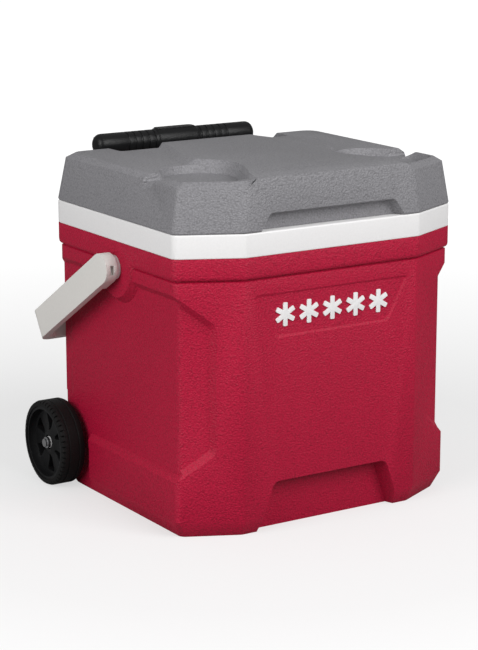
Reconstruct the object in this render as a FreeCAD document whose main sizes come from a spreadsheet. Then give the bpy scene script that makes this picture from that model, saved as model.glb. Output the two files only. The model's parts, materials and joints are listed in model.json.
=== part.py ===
import FreeCAD, Part
import math
import os
import re
import Sketcher

# A wheeled cooler in millimetres, +Z up, front towards -Y.
# The origin is on the floor under the middle of the whole object.

# name, value, what it is
SIZES = [
    ("body_width", 380, "collar, rim and lid across X"),
    ("body_depth", 313, "collar, rim and lid along Y"),
    ("facet_width", 71.5, "front corner facet along X"),
    ("facet_depth", 34.9, "front corner facet along Y"),
    ("corner_radius", 16, "rounding of the rear corners"),
    ("edge_radius", 8, "rounding of the facet edges"),
    ("shell_height", 321.5, "top of the red shell"),
    ("collar_height", 24.5, "collar at the top of the shell"),
    ("body_inset", 2.5, "shell face behind the collar face"),
    ("shell_wall", 3, "wall of the red shell"),
    ("panel_depth", 6, "side panel behind the shell face"),
    ("panel_top", 280, "height of the side panel's top edge"),
    ("panel_bottom", 68, "height of the side panel's bottom edge"),
    ("panel_facet_top", 246, "panel top where it ends on the facet"),
    ("panel_facet_bottom", 96, "panel bottom where it ends on the facet"),
    ("panel_facet_run", 48, "panel length along the facet"),
    ("base_chamfer", 9.5, "inset of the chamfered foot"),
    ("base_chamfer_height", 19, "height of the chamfered foot"),
    ("recess_depth", 20, "hand recess in the base, from the front"),
    ("recess_top", 59, "height of the hand recess"),
    ("recess_low_half", 99, "half width of the hand recess at the floor"),
    ("recess_high_half", 77, "half width of the hand recess at its top"),
    ("badge_depth", 1.5, "depth of the badge panel"),
    ("badge_top", 277.5, "top of the badge panel"),
    ("badge_bottom", 226, "bottom of the badge panel"),
    ("badge_top_half", 107, "half width of the badge panel's top"),
    ("badge_bottom_half", 78, "half width of the badge panel's bottom"),
    ("star_radius", 13.5, "raised frost star in the badge panel"),
    ("star_bar", 5.6, "width of one bar of a star"),
    ("star_step", 32, "from one star to the next"),
    ("emblem_thickness", 1.2, "thickness of the raised emblem"),
    ("boss_radius", 35, "boss round the bail's pivot"),
    ("rest_pad_x", 122, "pad for the resting bail, from the centre"),
    ("rest_pad_width", 20, "pad for the resting bail along X"),
    ("rest_pad_height", 24, "pad for the resting bail along Z"),
    ("rim_height", 27, "white rim band"),
    ("seam_gap", 0.3, "gap between rim and lid"),
    ("opening_half", 142, "half width of the liner's opening"),
    ("opening_from_front", 33, "front of the liner's opening"),
    ("opening_length", 244, "liner's opening along Y"),
    ("opening_radius", 28, "corner rounding of the liner"),
    ("tub_floor", 92, "height of the inside floor"),
    ("liner_wall", 3, "wall of the liner"),
    ("foam_gap", 0.2, "gap round the foam"),
    ("cavity_inset", 12, "foam space behind the collar face"),
    ("cavity_floor", 70, "floor of the wide foam space"),
    ("lid_wall_height", 51.8, "lid's drafted wall"),
    ("lid_shoulder", 4, "lid's bevel above the wall"),
    ("lid_crown", 6.2, "crown above the lid's shoulder"),
    ("lid_draft", 9, "lid's draft at the sides"),
    ("lid_wall", 3, "wall of the lid"),
    ("crown_half", 108, "half width of the crown's front"),
    ("crown_back_half", 60, "half width of the crown at the notch"),
    ("crown_slope", 5, "width of the crown's sloped edge"),
    ("cup_radius", 46, "cup holder"),
    ("cup_x", 122, "cup holder from the centre"),
    ("cup_from_front", 94, "cup holder from the front"),
    ("cup_depth", 9, "cup holder below the shoulder"),
    ("drain_width", 20, "channel from the cup holder to the side"),
    ("grab_half", 98, "half width of the lid's finger recess"),
    ("grab_height", 20.5, "height of the lid's finger recess"),
    ("grab_depth", 13, "depth of the lid's finger recess"),
    ("notch_half", 120, "half width of the notch for the grip"),
    ("notch_depth", 41, "notch from the lid's back"),
    ("notch_height", 22, "ledge height left under the notch"),
    ("plug_depth", 12, "lid plug below the rim"),
    ("plug_gap", 3, "gap round the lid plug"),
    ("panel_thickness", 3, "lid's inner panel"),
    ("hinge_height", 23.5, "hinge axis above the rim"),
    ("hinge_setback", 6, "hinge axis behind the lid"),
    ("hinge_x", 70, "hinge from the centre"),
    ("hinge_width", 44, "width of one hinge"),
    ("leaf_foot", 2, "hinge leaf above the lid's lower edge"),
    ("pin_head_height", 1.5, "head of a hinge pin"),
    ("hinge_pin_radius", 2, "hinge pin"),
    ("knuckle_radius", 4.5, "hinge knuckle"),
    ("running_gap", 0.08, "radial gap of pins and axles"),
    ("pivot_from_front", 166, "bail pivot from the front"),
    ("pivot_height", 291, "bail pivot above the floor"),
    ("bail_clearance", 1.8, "bail over the lid's back edge"),
    ("bail_thickness", 6.5, "bail's cross bar"),
    ("bail_width", 35, "width of the bail's strap"),
    ("bail_arm", 14, "thickness of the bail's arms"),
    ("bail_gap", 6, "gap between collar and bail arm"),
    ("bail_corner", 16, "outer rounding of the bail's corners"),
    ("bail_relief", 8, "the hub stands this far inside the thin arm"),
    ("thin_from_hub", 4, "thin part of an arm starts this far past the hub"),
    ("thin_from_bar", 12, "thin part of an arm ends this far before the cross bar"),
    ("hub_socket", 10, "depth of the pin's socket in the hub"),
    ("bail_rest_angle", 31.6, "bail below level at rest"),
    ("pivot_pin_radius", 7, "bail pivot pin"),
    ("pin_play", 0.4, "pin's end short of its socket"),
    ("tube_clearance", 1.7, "handle tubes behind the bail's sweep"),
    ("tube_radius", 8, "outer handle tube"),
    ("tube_wall", 1, "wall of every handle tube"),
    ("tube_slack", 0.15, "radial gap between handle tubes"),
    ("tube_x", 92, "handle tube from the centre"),
    ("tube_bottom", 66, "lower end of the outer tubes"),
    ("tube_length", 286, "length of the outer tubes"),
    ("stage_step", 6, "each inner tube starts this much higher"),
    ("collar_tall", 12, "collar on the end of a tube"),
    ("collar_half", 12, "half width of a tube collar"),
    ("lock_pin_radius", 1.5, "lock pin across an upper tube"),
    ("lock_pin_rise", 20, "lock pin above the lower end of the tubes"),
    ("lock_pin_play", 0.02, "lock pin's end short of the tube's bore"),
    ("carriage_bottom", 26, "lower edge of the rear carriage"),
    ("carriage_top", 158, "upper edge of the rear carriage"),
    ("carriage_wall", 5, "wall of the rear carriage"),
    ("ear_thickness", 14, "carriage ear along the axle"),
    ("ear_over_axle", 8, "carriage ear above the axle"),
    ("screw_radius", 5, "head of a carriage screw"),
    ("screw_head", 2.4, "height of a carriage screw's head"),
    ("screw_inset", 12, "screws from the carriage's arms"),
    ("screw_below_top", 14, "upper screws below the carriage's top"),
    ("screw_above_low", 60, "lower screws above the carriage's bottom"),
    ("grip_radius", 13.5, "grip bar"),
    ("grip_half", 113, "half length of the grip"),
    ("grip_drop", 9.5, "grip centre below the lid's peak"),
    ("grip_clearance", 6, "grip outside the bail's sweep"),
    ("button_half", 27, "half length of the release button"),
    ("button_rise", 1.5, "release button above the grip"),
    ("button_width", 14, "release button along Y"),
    ("button_foot", 7, "button's underside above the grip's centre"),
    ("button_slack", 0.4, "gap round the release button"),
    ("button_edge", 1.2, "rounding of the release button"),
    ("well_rise", 1, "button well's floor above the grip's centre"),
    ("spring_radius", 4, "button spring"),
    ("spring_wall", 1, "wall of the button spring"),
    ("socket_width", 18, "grip's socket on a handle tube"),
    ("socket_depth", 8, "handle tube inside the grip's socket"),
    ("wheel_radius", 52, "wheel"),
    ("wheel_width", 31, "wheel along X"),
    ("wheel_gap", 4.5, "wheel beside the shell"),
    ("wheel_from_front", 301, "axle from the front"),
    ("well_radius", 61, "wheel well"),
    ("well_depth", 9, "wheel well behind the shell face"),
    ("tread_depth", 7, "thickness of the tread"),
    ("lug_width", 2, "groove between two lugs"),
    ("lug_height", 4, "groove between two lugs, inwards"),
    ("lug_depth", 5, "groove between two lugs, along the axle"),
    ("wheel_inlay", 1, "wheel's faces inside the tyre's faces"),
    ("dish_depth", 12, "dish in each face of the wheel"),
    ("dish_rim", 4, "ring left round the dish"),
    ("window_inner", 4, "window's width beside the hub"),
    ("window_outer", 19, "window's width beside the rim"),
    ("window_from_hub", 2, "window outside the hub"),
    ("window_from_rim", 7, "window inside the rim"),
    ("hub_radius", 14, "wheel hub"),
    ("hub_behind", 2, "hub past the wheel's inner face"),
    ("hub_inset", 7, "hub's outer end inside the wheel's face"),
    ("axle_radius", 5, "axle"),
    ("bush_wall", 2, "wall of the wheel bush"),
    ("nut_wall", 1.8, "wall of the axle nut and the spacer"),
    ("nut_width", 3, "axle nut along the axle"),
    ("axle_past", 6, "axle past the hub"),
]

# places worked out from the sizes above
PLACES = {
    "bail_inner": "sqrt((body_depth - pivot_from_front)^2 + (shoulder_z - pivot_height)^2) + bail_clearance",
    "bail_outer": "bail_inner + bail_thickness",
    "bail_sweep": "sqrt(bail_outer^2 + (bail_width / 2)^2)",
    "half_depth": "(pivot_from_front + bail_sweep + tube_clearance + 2 * tube_radius) / 2",
    "front_y": "-half_depth",
    "back_y": "front_y + body_depth",
    "side_x": "body_width / 2",
    "facet_run": "sqrt(facet_width^2 + facet_depth^2)",
    "side_share": "(facet_run - facet_depth) / facet_width",
    "front_share": "(facet_run - facet_width) / facet_depth",
    "facet_angle": "atan(facet_depth / facet_width)",
    "rest": "bail_rest_angle * 1 deg",
    "badge_middle": "(badge_top + badge_bottom) / 2",
    "emblem_lift": "-(front_y + body_inset + badge_depth)",
    "rest_z": "pivot_height - bail_inner * sin(rest) - bail_width / 2 * cos(rest)",
    "pivot_y": "front_y + pivot_from_front",
    "rim_top": "shell_height + rim_height",
    "lid_z": "rim_top + seam_gap",
    "wall_top": "lid_z + lid_wall_height",
    "shoulder_z": "wall_top + lid_shoulder",
    "peak_z": "shoulder_z + lid_crown",
    "ledge_z": "lid_z + notch_height",
    "notch_y": "back_y - notch_depth",
    "beside_notch": "(cup_x - cup_radius / 2 + crown_back_half) / 2 + crown_slope",
    "hinge_y": "back_y + hinge_setback",
    "hinge_z": "rim_top + hinge_height",
    "opening_y": "front_y + opening_from_front",
    "tube_y": "half_depth - tube_radius",
    "grip_z": "peak_z - grip_drop",
    "grip_bottom": "grip_z - grip_radius",
    "grip_reach": "bail_sweep + grip_clearance + grip_radius",
    "grip_y": "pivot_y + sqrt(grip_reach^2 - (grip_z - pivot_height)^2)",
    "arm_in": "side_x + bail_gap",
    "arm_out": "arm_in + bail_arm",
    "wheel_y": "front_y + wheel_from_front",
    "tunnel_y": "wheel_y - 3 * axle_radius",
    "wheel_in": "side_x - body_inset - well_depth + wheel_gap + 3",
    "wheel_out": "wheel_in + wheel_width",
    "well_floor": "side_x - body_inset - well_depth",
    "middle_radius": "tube_radius - tube_wall - tube_slack",
    "upper_radius": "middle_radius - tube_wall - tube_slack",
    "outer_top": "tube_bottom + tube_length",
    "middle_top": "outer_top + collar_tall + stage_step / 2",
    "bush_radius": "axle_radius + running_gap + bush_wall",
    "hub_in": "wheel_in - hub_behind",
    "hub_out": "wheel_out - hub_inset",
}

WINDOWS = 6
LUGS = 48

NAMES = {name for name, _, _ in SIZES}

doc = FreeCAD.newDocument("WheeledCooler")
sheet = doc.addObject("Spreadsheet::Sheet", "Sizes")
for row, (name, number, meaning) in enumerate(SIZES, start=1):
    sheet.set(f"A{row}", str(number))
    sheet.setAlias(f"A{row}", name)
    sheet.set(f"B{row}", meaning)
doc.recompute()


def linked(text):
    """The expression with every size read from the sheet and every place spelled out."""
    def swap(found):
        word = found.group(0)
        if word in PLACES:
            return "(" + linked(PLACES[word]) + ")"
        return "Sizes." + word if word in NAMES else word
    return re.sub(r"[a-z_]+", swap, str(text))


def number(text):
    """The expression's present value."""
    return float(sheet.evalExpression(linked(text)))


def bind(thing, prop, text):
    thing.setExpression(prop, linked(text))


# ---- PartDesign helpers

def new_body(name):
    body = doc.addObject("PartDesign::Body", name)
    body.Label = name
    return body


def plane_of(body, role):
    return next(f for f in body.Origin.OriginFeatures if f.Role == role)


def new_sketch(body, role, lift="0", turn=None):
    """A sketch on an origin plane, turned about the plane's upright and lifted off it."""
    sketch = body.newObject("Sketcher::SketchObject", "Outline")
    sketch.AttachmentSupport = [(plane_of(body, role), "")]
    sketch.MapMode = "FlatFace"
    if turn is None:
        bind(sketch, "AttachmentOffset.Base.z", lift)
        return sketch
    upright = FreeCAD.Rotation(FreeCAD.Vector(0, 1, 0), number(turn))
    sketch.AttachmentOffset = FreeCAD.Placement(FreeCAD.Vector(), upright)
    bind(sketch, "AttachmentOffset.Base.x", f"({lift}) * sin({turn})")
    bind(sketch, "AttachmentOffset.Base.z", f"({lift}) * cos({turn})")
    return sketch


def pin_point(sketch, line, end, across, up):
    """Ties one point of a line to the sketch's axes."""
    for kind, text, axis in (("DistanceX", across, -2), ("DistanceY", up, -1)):
        value = number(text)
        if abs(value) < 1e-9:
            sketch.addConstraint(Sketcher.Constraint("PointOnObject", line, end, axis))
            continue
        first, second = ((-1, 1), (line, end)) if value > 0 else ((line, end), (-1, 1))
        spot = sketch.addConstraint(Sketcher.Constraint(kind, *first, *second, abs(value)))
        sign = "" if value > 0 else "-"
        sketch.setExpression(f"Constraints[{spot}]", f"{sign}({linked(text)})")


def polygon(sketch, points):
    """A closed outline through points, each an (across, up) pair of expressions."""
    count = len(points)
    spots = [FreeCAD.Vector(number(x), number(y), 0) for x, y in points]
    lines = [sketch.addGeometry(Part.LineSegment(spots[i], spots[(i + 1) % count]))
             for i in range(count)]
    for i, line in enumerate(lines):
        sketch.addConstraint(Sketcher.Constraint("Coincident", line, 2, lines[(i + 1) % count], 1))
    for line, (across, up) in zip(lines, points):
        pin_point(sketch, line, 1, across, up)


def rounded(sketch, points, radius):
    """A closed outline of a rectangle's four corners, each rounded with an arc."""
    spots = [(number(x), number(y)) for x, y in points]
    size = number(radius)
    stops = []
    for i, (x, y) in enumerate(points):
        for j in (i - 1, (i + 1) % 4):
            over = [f"{t} + ({radius}) * {(b > a + 1e-6) - (b < a - 1e-6)}"
                    for t, a, b in zip((x, y), spots[i], spots[j])]
            stops.append(over)
    lines = []
    for i in range(4):
        start, end = stops[2 * i + 1], stops[(2 * i + 2) % 8]
        ends = [FreeCAD.Vector(number(x), number(y), 0) for x, y in (start, end)]
        line = sketch.addGeometry(Part.LineSegment(*ends))
        pin_point(sketch, line, 1, *start)
        pin_point(sketch, line, 2, *end)
        lines.append((line, ends))
    for i in range(4):
        (before, (_, start)), (after, (end, _)) = lines[i], lines[(i + 1) % 4]
        corner = FreeCAD.Vector(*spots[(i + 1) % 4], 0)
        middle = start + end - corner
        bulge = middle + (corner - middle).normalize() * size
        arc = sketch.addGeometry(Part.Arc(start, bulge, end))
        sketch.addConstraint(Sketcher.Constraint("Coincident", before, 2, arc, 1))
        sketch.addConstraint(Sketcher.Constraint("Coincident", after, 1, arc, 2))
        spot = sketch.addConstraint(Sketcher.Constraint("Radius", arc, size))
        sketch.setExpression(f"Constraints[{spot}]", linked(radius))


def circle(sketch, across, up, radius):
    middle = FreeCAD.Vector(number(across), number(up), 0)
    ring = sketch.addGeometry(Part.Circle(middle, FreeCAD.Vector(0, 0, 1), number(radius)))
    spot = sketch.addConstraint(Sketcher.Constraint("Radius", ring, number(radius)))
    sketch.setExpression(f"Constraints[{spot}]", linked(radius))
    pin_point(sketch, ring, 3, across, up)


def feature(body, kind, sketch, length, back=False, even=False):
    item = body.newObject("PartDesign::" + kind, kind)
    item.Profile = sketch
    bind(item, "Length", length)
    item.Reversed = back
    item.Midplane = even
    sketch.Visibility = False
    doc.recompute()
    return item


def pad(body, sketch, length, back=False, even=False):
    return feature(body, "Pad", sketch, length, back, even)


def pocket(body, sketch, length, back=False, even=False):
    """A pocket that has to take material away."""
    before = body.Shape.Volume
    item = feature(body, "Pocket", sketch, length, back, even)
    if item.Shape.Volume > before - 1:
        raise ValueError(f"{body.Label}: a pocket cuts nothing")
    return item


def loft(body, low, high):
    item = body.newObject("PartDesign::AdditiveLoft", "Loft")
    item.Profile = low
    item.Sections = [high]
    item.Ruled = True
    doc.recompute()
    return item


def dress(body, kind, prop, size, wanted):
    """A fillet or chamfer on the edges of the body's tip that wanted() picks."""
    base = body.Tip
    edges = [f"Edge{i}" for i, edge in enumerate(base.Shape.Edges, start=1) if wanted(edge)]
    if not edges:
        raise ValueError(f"{body.Label}: no edge to dress")
    item = body.newObject("PartDesign::" + kind, kind)
    item.Base = (base, edges)
    bind(item, prop, size)
    doc.recompute()
    return item


def along(edge, axis):
    """Is this a straight edge along the axis?"""
    ends = [v.Point for v in edge.Vertexes]
    if len(ends) != 2 or edge.Curve.TypeId != "Part::GeomLine":
        return False
    run = (ends[1] - ends[0]).normalize()
    return abs(abs(run.dot(axis)) - 1) < 1e-6


def upright_at(corners, low="-1", reach="0.2"):
    """Picks edges that rise at one of the (x, y) corners above a height, within a reach."""
    spots = [(number(x), number(y)) for x, y in corners]

    def wanted(edge):
        ends = [v.Point for v in edge.Vertexes]
        if len(ends) != 2 or abs(ends[0].z - ends[1].z) < 1 or edge.CenterOfMass.z < number(low):
            return False
        return any(all(math.hypot(end.x - x, end.y - y) < number(reach) for end in ends)
                   for x, y in spots)
    return wanted


def level_at(height):
    """Picks edges that lie flat at a height."""
    level = number(height)

    def wanted(edge):
        box = edge.BoundBox
        return abs(box.ZMin - level) < 0.01 and abs(box.ZMax - level) < 0.01
    return wanted


# ---- Part helpers

def placed(item, x, y, z):
    bind(item, "Placement.Base.x", x)
    bind(item, "Placement.Base.y", y)
    bind(item, "Placement.Base.z", z)
    return item


def block(name, low, size):
    item = doc.addObject("Part::Box", name)
    for prop, text in zip(("Length", "Width", "Height"), size):
        bind(item, prop, text)
    return placed(item, *low)


TURNS = {
    "x": FreeCAD.Rotation(FreeCAD.Vector(0, 1, 0), 90),
    "y": FreeCAD.Rotation(FreeCAD.Vector(1, 0, 0), -90),
    "z": FreeCAD.Rotation(),
}


def rod(name, start, axis, radius, length):
    """A cylinder that starts at a point and runs along +X, +Y or +Z."""
    item = doc.addObject("Part::Cylinder", name)
    item.Placement = FreeCAD.Placement(FreeCAD.Vector(), TURNS[axis])
    bind(item, "Radius", radius)
    bind(item, "Height", length)
    return placed(item, *start)


def cut(name, base, tool):
    item = doc.addObject("Part::Cut", name)
    item.Base = base
    item.Tool = tool
    item.Label = name
    return item


def fuse(name, items):
    item = doc.addObject("Part::MultiFuse", name)
    item.Shapes = items
    item.Label = name
    return item


def group(name, items):
    """Several separate solids as one sub-part."""
    item = doc.addObject("Part::Compound", name)
    item.Links = items
    item.Label = name
    return item


def mirrored(name, source):
    """The same piece on the other side of the middle plane."""
    item = doc.addObject("Part::Mirroring", name)
    item.Source = source
    item.Normal = FreeCAD.Vector(1, 0, 0)
    item.Label = name
    return item


def pair(name, item):
    return group(name, [item, mirrored(name + "_twin", item)])


def ring(name, start, axis, outer, inner, length):
    return cut(name, rod(name + "_outer", start, axis, outer, length),
               rod(name + "_bore", start, axis, inner, length))


# ---- outlines in plan

def plan(inset="0"):
    """The six corners of the faceted outline, moved inwards by inset."""
    front = (f"side_x - facet_width - ({inset}) * front_share", f"front_y + ({inset})")
    side = (f"side_x - ({inset})", f"front_y + facet_depth + ({inset}) * side_share")
    back = (f"side_x - ({inset})", f"back_y - ({inset})")
    right = [front, side, back]
    return right + [(f"-({x})", y) for x, y in reversed(right)]


def rectangle(left, front, right, back):
    return [(left, front), (right, front), (right, back), (left, back)]


def opening(gap="0"):
    """The liner's opening, made smaller by gap."""
    return rectangle(f"-(opening_half - ({gap}))", f"opening_y + ({gap})",
                     f"opening_half - ({gap})", f"opening_y + opening_length - ({gap})")


def round_plan(body, inset="0", low="-1", reach="0.2"):
    """Rounds the upright edges of a faceted outline."""
    corners = plan(inset)
    facets = [corners[i] for i in (0, 1, 4, 5)]
    dress(body, "Fillet", "Radius", "edge_radius", upright_at(facets, low, reach))
    dress(body, "Fillet", "Radius", "corner_radius", upright_at(corners[2:4], low, reach))


# ---- the cooler's body

def cut_side_panels(body):
    """The sunk panel on each side, which goes round the corner onto the facet."""
    shell_x = "side_x - body_inset"
    corner_y = "front_y + facet_depth + body_inset * side_share"
    for sign in (1, -1):
        face = new_sketch(body, "YZ_Plane", f"{sign} * ({shell_x})")
        past = f"{corner_y} - panel_depth"
        polygon(face, rectangle(past, "panel_bottom", "back_y + 1", "panel_top"))
        pocket(body, face, "panel_depth", back=sign < 0)
    for sign in (1, -1):
        turn = f"{sign} * (facet_angle - 90 deg)"
        across = f"({shell_x}) * facet_depth / facet_run - ({corner_y}) * facet_width / facet_run"
        flat = new_sketch(body, "YZ_Plane", f"{sign} * ({across})", turn)
        # along the facet, measured from the foot of the plane's normal
        start = f"({shell_x}) * facet_width / facet_run + ({corner_y}) * facet_depth / facet_run"
        end = f"{start} - panel_facet_run"
        wrap = f"{start} + panel_depth"
        shape = [(end, "panel_facet_bottom"), (end, "panel_facet_top"), (start, "panel_top"),
                 (wrap, "panel_top"), (wrap, "panel_bottom"), (start, "panel_bottom")]
        polygon(flat, shape)
        pocket(body, flat, "panel_depth", back=sign < 0)


def cut_wheel_wells(body):
    for sign in (1, -1):
        side = new_sketch(body, "YZ_Plane", f"{sign} * well_floor")
        circle(side, "wheel_y", "wheel_radius", "well_radius")
        pocket(body, side, "well_depth + 1", back=sign > 0)
        behind = new_sketch(body, "YZ_Plane", f"{sign} * well_floor")
        polygon(behind, rectangle("wheel_y - well_radius", "-1", "back_y + 1", "wheel_radius"))
        pocket(body, behind, "well_depth + 1", back=sign > 0)


def make_body_shell():
    body = new_body("body_shell")
    sole = new_sketch(body, "XY_Plane")
    polygon(sole, plan("body_inset + base_chamfer"))
    ankle = new_sketch(body, "XY_Plane", "base_chamfer_height")
    polygon(ankle, plan("body_inset"))
    loft(body, sole, ankle)
    wall = new_sketch(body, "XY_Plane", "base_chamfer_height")
    polygon(wall, plan("body_inset"))
    pad(body, wall, "shell_height - base_chamfer_height")
    round_plan(body, "body_inset", reach="2 * base_chamfer")
    collar = new_sketch(body, "XY_Plane", "shell_height - collar_height")
    polygon(collar, plan())
    pad(body, collar, "collar_height")
    round_plan(body, low="shell_height - collar_height")
    cut_side_panels(body)
    add_pivot_bosses(body)
    add_bail_rests(body)
    cut_wheel_wells(body)
    cut_front(body)
    cut_axle_tunnel(body)
    hollow_shell(body)
    cut_bores(body)
    return body


def add_pivot_bosses(body):
    for sign in (1, -1):
        side = new_sketch(body, "YZ_Plane", f"{sign} * side_x")
        circle(side, "pivot_y", "pivot_height", "boss_radius")
        pad(body, side, "cavity_inset + 2", back=sign > 0)
    above = new_sketch(body, "XY_Plane", "shell_height")
    polygon(above, rectangle("-side_x - 1", "front_y - 1", "side_x + 1", "back_y + 1"))
    pocket(body, above, "boss_radius", back=True)


def hollow_shell(body):
    """The foam space: wide above, narrower between the wheels and behind the hand recess."""
    top = new_sketch(body, "XY_Plane", "shell_height")
    polygon(top, plan("cavity_inset"))
    pocket(body, top, "shell_height - cavity_floor")
    low = new_sketch(body, "XY_Plane", "cavity_floor")
    polygon(low, low_space())
    pocket(body, low, "cavity_floor - 2 * shell_wall")


def cut_axle_tunnel(body):
    """The open step under the rear edge, between the wheel wells."""
    tunnel = new_sketch(body, "XY_Plane", "-1")
    half = "well_floor - 4 * shell_wall"
    polygon(tunnel, rectangle(f"-({half})", "tunnel_y", half, "back_y + 1"))
    pocket(body, tunnel, "wheel_radius + 2 * axle_radius + 1", back=True)


def add_bail_rests(body):
    """Two pads on the back wall that the bail's cross bar comes down to."""
    low_corner = "bail_inner * cos(rest) - bail_width / 2 * sin(rest)"
    half = "rest_pad_width / 2"
    for side in (1, -1):
        rest = new_sketch(body, "XY_Plane", "rest_z - rest_pad_height / 2")
        middle = f"{side} * rest_pad_x"
        polygon(rest, rectangle(f"{middle} - {half}", "back_y - 2 * body_inset",
                                f"{middle} + {half}", f"pivot_y + {low_corner} - seam_gap"))
        pad(body, rest, "rest_pad_height")


def low_space(gap="0"):
    """The foam space below the wide one, clear of the hand recess, the wells and the tunnel."""
    front = f"front_y + body_inset + recess_depth + shell_wall + ({gap})"
    back = f"tunnel_y - shell_wall - ({gap})"
    side = f"well_floor - 2 * shell_wall - ({gap})"
    right = [("recess_low_half", front), (side, f"{front} + facet_depth"), (side, back)]
    return right + [(f"-({x})", y) for x, y in reversed(right)]


def cut_front(body):
    shell_y = "-(front_y + body_inset)"
    hand = new_sketch(body, "XZ_Plane", shell_y)
    polygon(hand, [("-recess_low_half", "-1"), ("recess_low_half", "-1"),
                   ("recess_high_half", "recess_top"), ("-recess_high_half", "recess_top")])
    pocket(body, hand, "recess_depth")
    badge = new_sketch(body, "XZ_Plane", shell_y)
    polygon(badge, [("-badge_bottom_half", "badge_bottom"), ("badge_bottom_half", "badge_bottom"),
                    ("badge_top_half", "badge_top"), ("-badge_top_half", "badge_top")])
    pocket(body, badge, "badge_depth")


def cut_bores(body):
    """The holes for the bail's pins and for the axle."""
    pins = new_sketch(body, "YZ_Plane")
    circle(pins, "pivot_y", "pivot_height", "pivot_pin_radius")
    pocket(body, pins, "body_width + 2", even=True)
    axle = new_sketch(body, "YZ_Plane")
    circle(axle, "wheel_y", "wheel_radius", "axle_radius + running_gap")
    pocket(body, axle, "body_width + 2", even=True)


def make_liner():
    """The white tub with its rim band, hollow under the rim."""
    body = new_body("liner")
    band = new_sketch(body, "XY_Plane", "shell_height")
    polygon(band, plan())
    pad(body, band, "rim_height")
    round_plan(body)
    under = new_sketch(body, "XY_Plane", "shell_height")
    polygon(under, plan("cavity_inset"))
    pocket(body, under, "rim_height - 2 * liner_wall", back=True)
    tub = new_sketch(body, "XY_Plane", "rim_top")
    rounded(tub, opening("-liner_wall"), "opening_radius + liner_wall")
    pad(body, tub, "rim_top - tub_floor + liner_wall", back=True)
    inside = new_sketch(body, "XY_Plane", "rim_top")
    rounded(inside, opening(), "opening_radius")
    pocket(body, inside, "rim_top - tub_floor")
    return body


def make_body_foam():
    body = new_body("body_foam")
    wide = new_sketch(body, "XY_Plane", "cavity_floor + foam_gap")
    polygon(wide, plan("cavity_inset + foam_gap"))
    pad(body, wide, "rim_top - 2 * liner_wall - cavity_floor - 2 * foam_gap")
    low = new_sketch(body, "XY_Plane", "2 * shell_wall + foam_gap")
    polygon(low, low_space("foam_gap"))
    pad(body, low, "cavity_floor - 2 * shell_wall")
    tub = new_sketch(body, "XY_Plane", "rim_top")
    rounded(tub, opening("-liner_wall - foam_gap"), "opening_radius + liner_wall + foam_gap")
    pocket(body, tub, "rim_top - tub_floor + liner_wall + foam_gap")
    pins = new_sketch(body, "YZ_Plane")
    circle(pins, "pivot_y", "pivot_height", "pivot_pin_radius + shell_wall")
    pocket(body, pins, "body_width + 2", even=True)
    return body


def make_emblem():
    """A row of plain frost stars, each of three crossed bars, raised in the badge panel."""
    stars = []
    for place in range(-2, 3):
        star = new_body(f"frost_star_{place + 3}")
        for turn in range(3):
            bar = new_sketch(star, "XZ_Plane", "emblem_lift")
            angle = math.radians(60 * turn + 30)
            long_x, long_z = (f"star_radius * {part:.6f}" for part in (math.cos(angle), math.sin(angle)))
            wide_x, wide_z = (f"star_bar / 2 * {part:.6f}" for part in (-math.sin(angle), math.cos(angle)))
            corners = [(-1, -1), (1, -1), (1, 1), (-1, 1)]
            polygon(bar, [(f"{place} * star_step + {a} * {long_x} + {b} * ({wide_x})",
                           f"badge_middle + {a} * {long_z} + {b} * ({wide_z})") for a, b in corners])
            pad(star, bar, "emblem_thickness")
        stars.append(star)
    group("front_emblem", stars)


# ---- the lid

def make_lid_shell():
    body = new_body("lid_shell")
    low = new_sketch(body, "XY_Plane", "lid_z")
    polygon(low, plan())
    high = new_sketch(body, "XY_Plane", "wall_top")
    polygon(high, lid_plan("0"))
    loft(body, low, high)
    edge = new_sketch(body, "XY_Plane", "wall_top")
    polygon(edge, lid_plan("0"))
    shoulder = new_sketch(body, "XY_Plane", "shoulder_z")
    polygon(shoulder, lid_plan("2 * lid_shoulder"))
    loft(body, edge, shoulder)
    add_crown(body)
    cut_lid_top(body)
    hollow_lid(body)
    return body


def lid_plan(inset):
    """The lid's outline above its drafted wall, and further in by inset."""
    shift = f"({inset}) + lid_draft / 2"
    right = plan(shift)[:3]
    right = [(right[0][0], right[0][1])] + [(f"{x} - lid_draft / 2", y) for x, y in right[1:]]
    return right + [(f"-({x})", y) for x, y in reversed(right)]


def add_crown(body):
    """The raised middle: wide at the front, cut into by the cup holders, narrow at the notch."""
    low_y = "front_y + lid_draft / 2 + 2 * lid_shoulder + 1"
    cup_y = "front_y + cup_from_front"
    beside = "cup_x - cup_radius / 2"
    right = [("crown_half", low_y), ("crown_half - cup_radius / 3", f"{cup_y} - 1.3 * cup_radius"),
             ("cup_x - cup_radius", f"{cup_y} - cup_radius / 3"), (beside, f"{cup_y} + cup_radius"),
             (beside, f"{cup_y} + 1.4 * cup_radius"), ("beside_notch", f"{cup_y} + 2 * cup_radius"),
             ("crown_back_half", "notch_y")]
    outline = right + [(f"-({x})", y) for x, y in reversed(right)]
    crown = new_sketch(body, "XY_Plane", "shoulder_z")
    polygon(crown, outline)
    pad(body, crown, "lid_crown")
    top = body.Tip.Shape.BoundBox.ZMax
    dress(body, "Chamfer", "Size", "crown_slope", level_at(str(round(top, 6))))


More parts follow.
